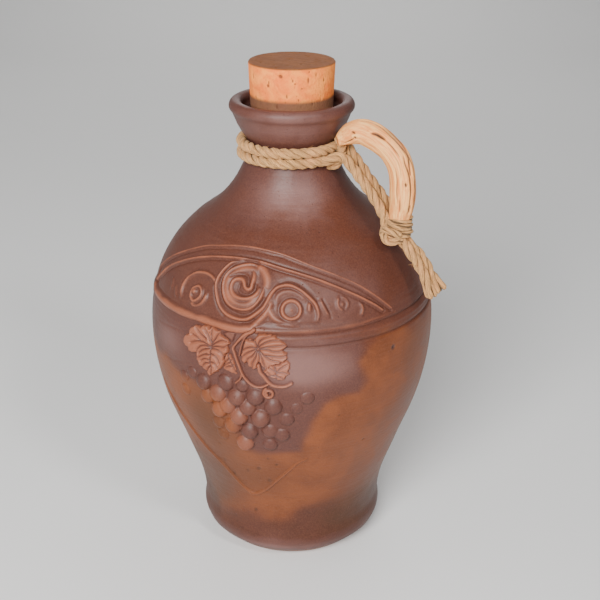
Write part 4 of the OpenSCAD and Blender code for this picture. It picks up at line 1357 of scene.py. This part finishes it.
def cork_material():
    """Cork with lenticels, a sawn top painted darker than the side as painted shade, and a darker band where
    it meets the mouth: painted shade above the rim and a stain on the part inside.
    """
    g = Graph("cork_stopper", IOR=1.4)
    place = g.place()
    cell = g.noise(place, 420, 4, 0.65)
    lines = g.noise(g.stretch(place, (500.0, 500.0, 60.0)), 1.0, 3, 0.6)
    patch = g.ramp(g.noise(place, 150, 4, 0.6, 0.8), 0.35, 0.7)
    base = g.layers(g.mix(patch, colour(232, 112, 38), colour(250, 148, 60)),
                    (cell, 0.52, 0.75, 0.6, colour(196, 104, 48)),
                    (lines, 0.6, 0.78, 0.5, colour(186, 104, 56)))
    height = g.node("ShaderNodeSeparateXYZ", {"Vector": place}).outputs["Z"]
    sawn = g.noise(g.stretch(place, (70.0, 500.0, 1.0)), 1.0, 4, 0.6, 0.4)
    # The sawn top, far darker than the side: painted shade over its own sawn grain.
    end = g.mix(g.ramp(sawn, 0.3, 0.7), colour(114, 64, 30), colour(136, 82, 42))
    base = g.layers(base, (height, 0.2246, 0.22525, 1.0, end))
    # Darker where the cork enters the mouth: painted shade just above the rim, a stain on the part inside.
    mouth_shade_and_stain = g.math("MULTIPLY", g.ramp(height, 0.2126, 0.2106, 0.0, 0.92),
                   g.ramp(height, 0.2, 0.2065, 0.45, 1.0))
    base = g.mix(mouth_shade_and_stain, base, colour(94, 66, 50))
    base = g.layers(base, (g.attribute("tone"), 0.25, 0.85, 0.85, colour(92, 52, 32)))
    skin = g.skin((g.cells(place, 900), 0.0003, 0.35), (cell, 0.0006, 0.5))
    return g.wire(Base_Color=base, Roughness=g.ramp(cell, 0.3, 0.7, 0.75, 0.9), Normal=skin)


def floor_material():
    g = Graph("floor_paper", Roughness=0.8)
    return g.wire(Base_Color=g.mix(g.noise(g.place(), 3, 2), colour(222, 221, 219), colour(227, 226, 224)))


# ---------------------------------------------------------------- floor and light

# Square lights: name, azimuth, elevation, distance and size in metres, power in watts
LIGHTS = (("key", 14, 28, 1.1, 0.5, 23), ("fill", -66, 22, 1.3, 0.9, 2), ("right", 68, 38, 1.2, 0.2, 5),
          ("back", 212, 24, 1.4, 0.8, 3.5), ("top", 170, 60, 1.5, 0.8, 3))


def make_stage():
    """A pale floor that curves up behind the jug, in metres until its points are made."""
    half_width, count, curve_at, curve_r, high = 4.5, 48, 1.1, 0.6, 2.4
    bend = [(-half_width, 0.0), (-1.6, 0.0), (curve_at, 0.0)]
    bend += [(curve_at + curve_r * math.sin(t), curve_r - curve_r * math.cos(t))
             for t in np.linspace(0.1, math.pi / 2, 14)]
    bend += [(curve_at + curve_r, high)]
    a = math.radians(CAMERA_DIR)
    along, across = np.array([-math.sin(a), math.cos(a)]), np.array([math.cos(a), math.sin(a)])
    points = []
    for distance, height in bend:
        for x in np.linspace(-half_width, half_width, count):
            points.append(np.append(along * distance + across * x, height) / MM)
    floor = mesh_piece("floor", points, grid_faces(len(bend), count, loop_cols=False))
    floor.data.materials.append(floor_material())


def make_light():
    world = bpy.data.worlds.new("soft_room")
    world.use_nodes = True
    sky = world.node_tree.nodes["Background"].inputs
    sky["Color"].default_value = (0.93, 0.95, 1.0, 1)
    sky["Strength"].default_value = 0.17
    bpy.context.scene.world = world
    for name, azimuth, elevation, distance, size, power in LIGHTS:
        data = bpy.data.lights.new(name, "AREA")
        data.shape = "SQUARE"
        data.size = size
        data.energy = power
        aimed(data, azimuth, elevation, distance, 0.11)


# ---------------------------------------------------------------- build

make_tails()
make_neck_ropes()
make_hitch()
make_cords()
make_lashing()
make_branch()
make_cork()
make_jug()
make_panel()
make_leaves()
make_vine()
make_tendril()
make_grapes()
make_ridge()

FINISHES = {
    "rope": rope_material(),
    "branch_wood": branch_material(),
    "cork": cork_material(),
    "terracotta": clay_material("terracotta", False),
    "relief_clay": clay_material("relief_clay", True),
}
for piece in list(bpy.data.objects):
    if piece.get("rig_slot") in FINISHES:
        piece.data.materials.clear()
        piece.data.materials.append(FINISHES[piece["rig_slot"]])
for node in frame["nodes"].values():
    for material in frame["record"]["materials"]:
        if node.name in material.get("nodes", []) and material["slot"] in FINISHES:
            node.data.materials.clear()
            node.data.materials.append(FINISHES[material["slot"]])

make_stage()
make_light()

bpy.context.view_layer.update()
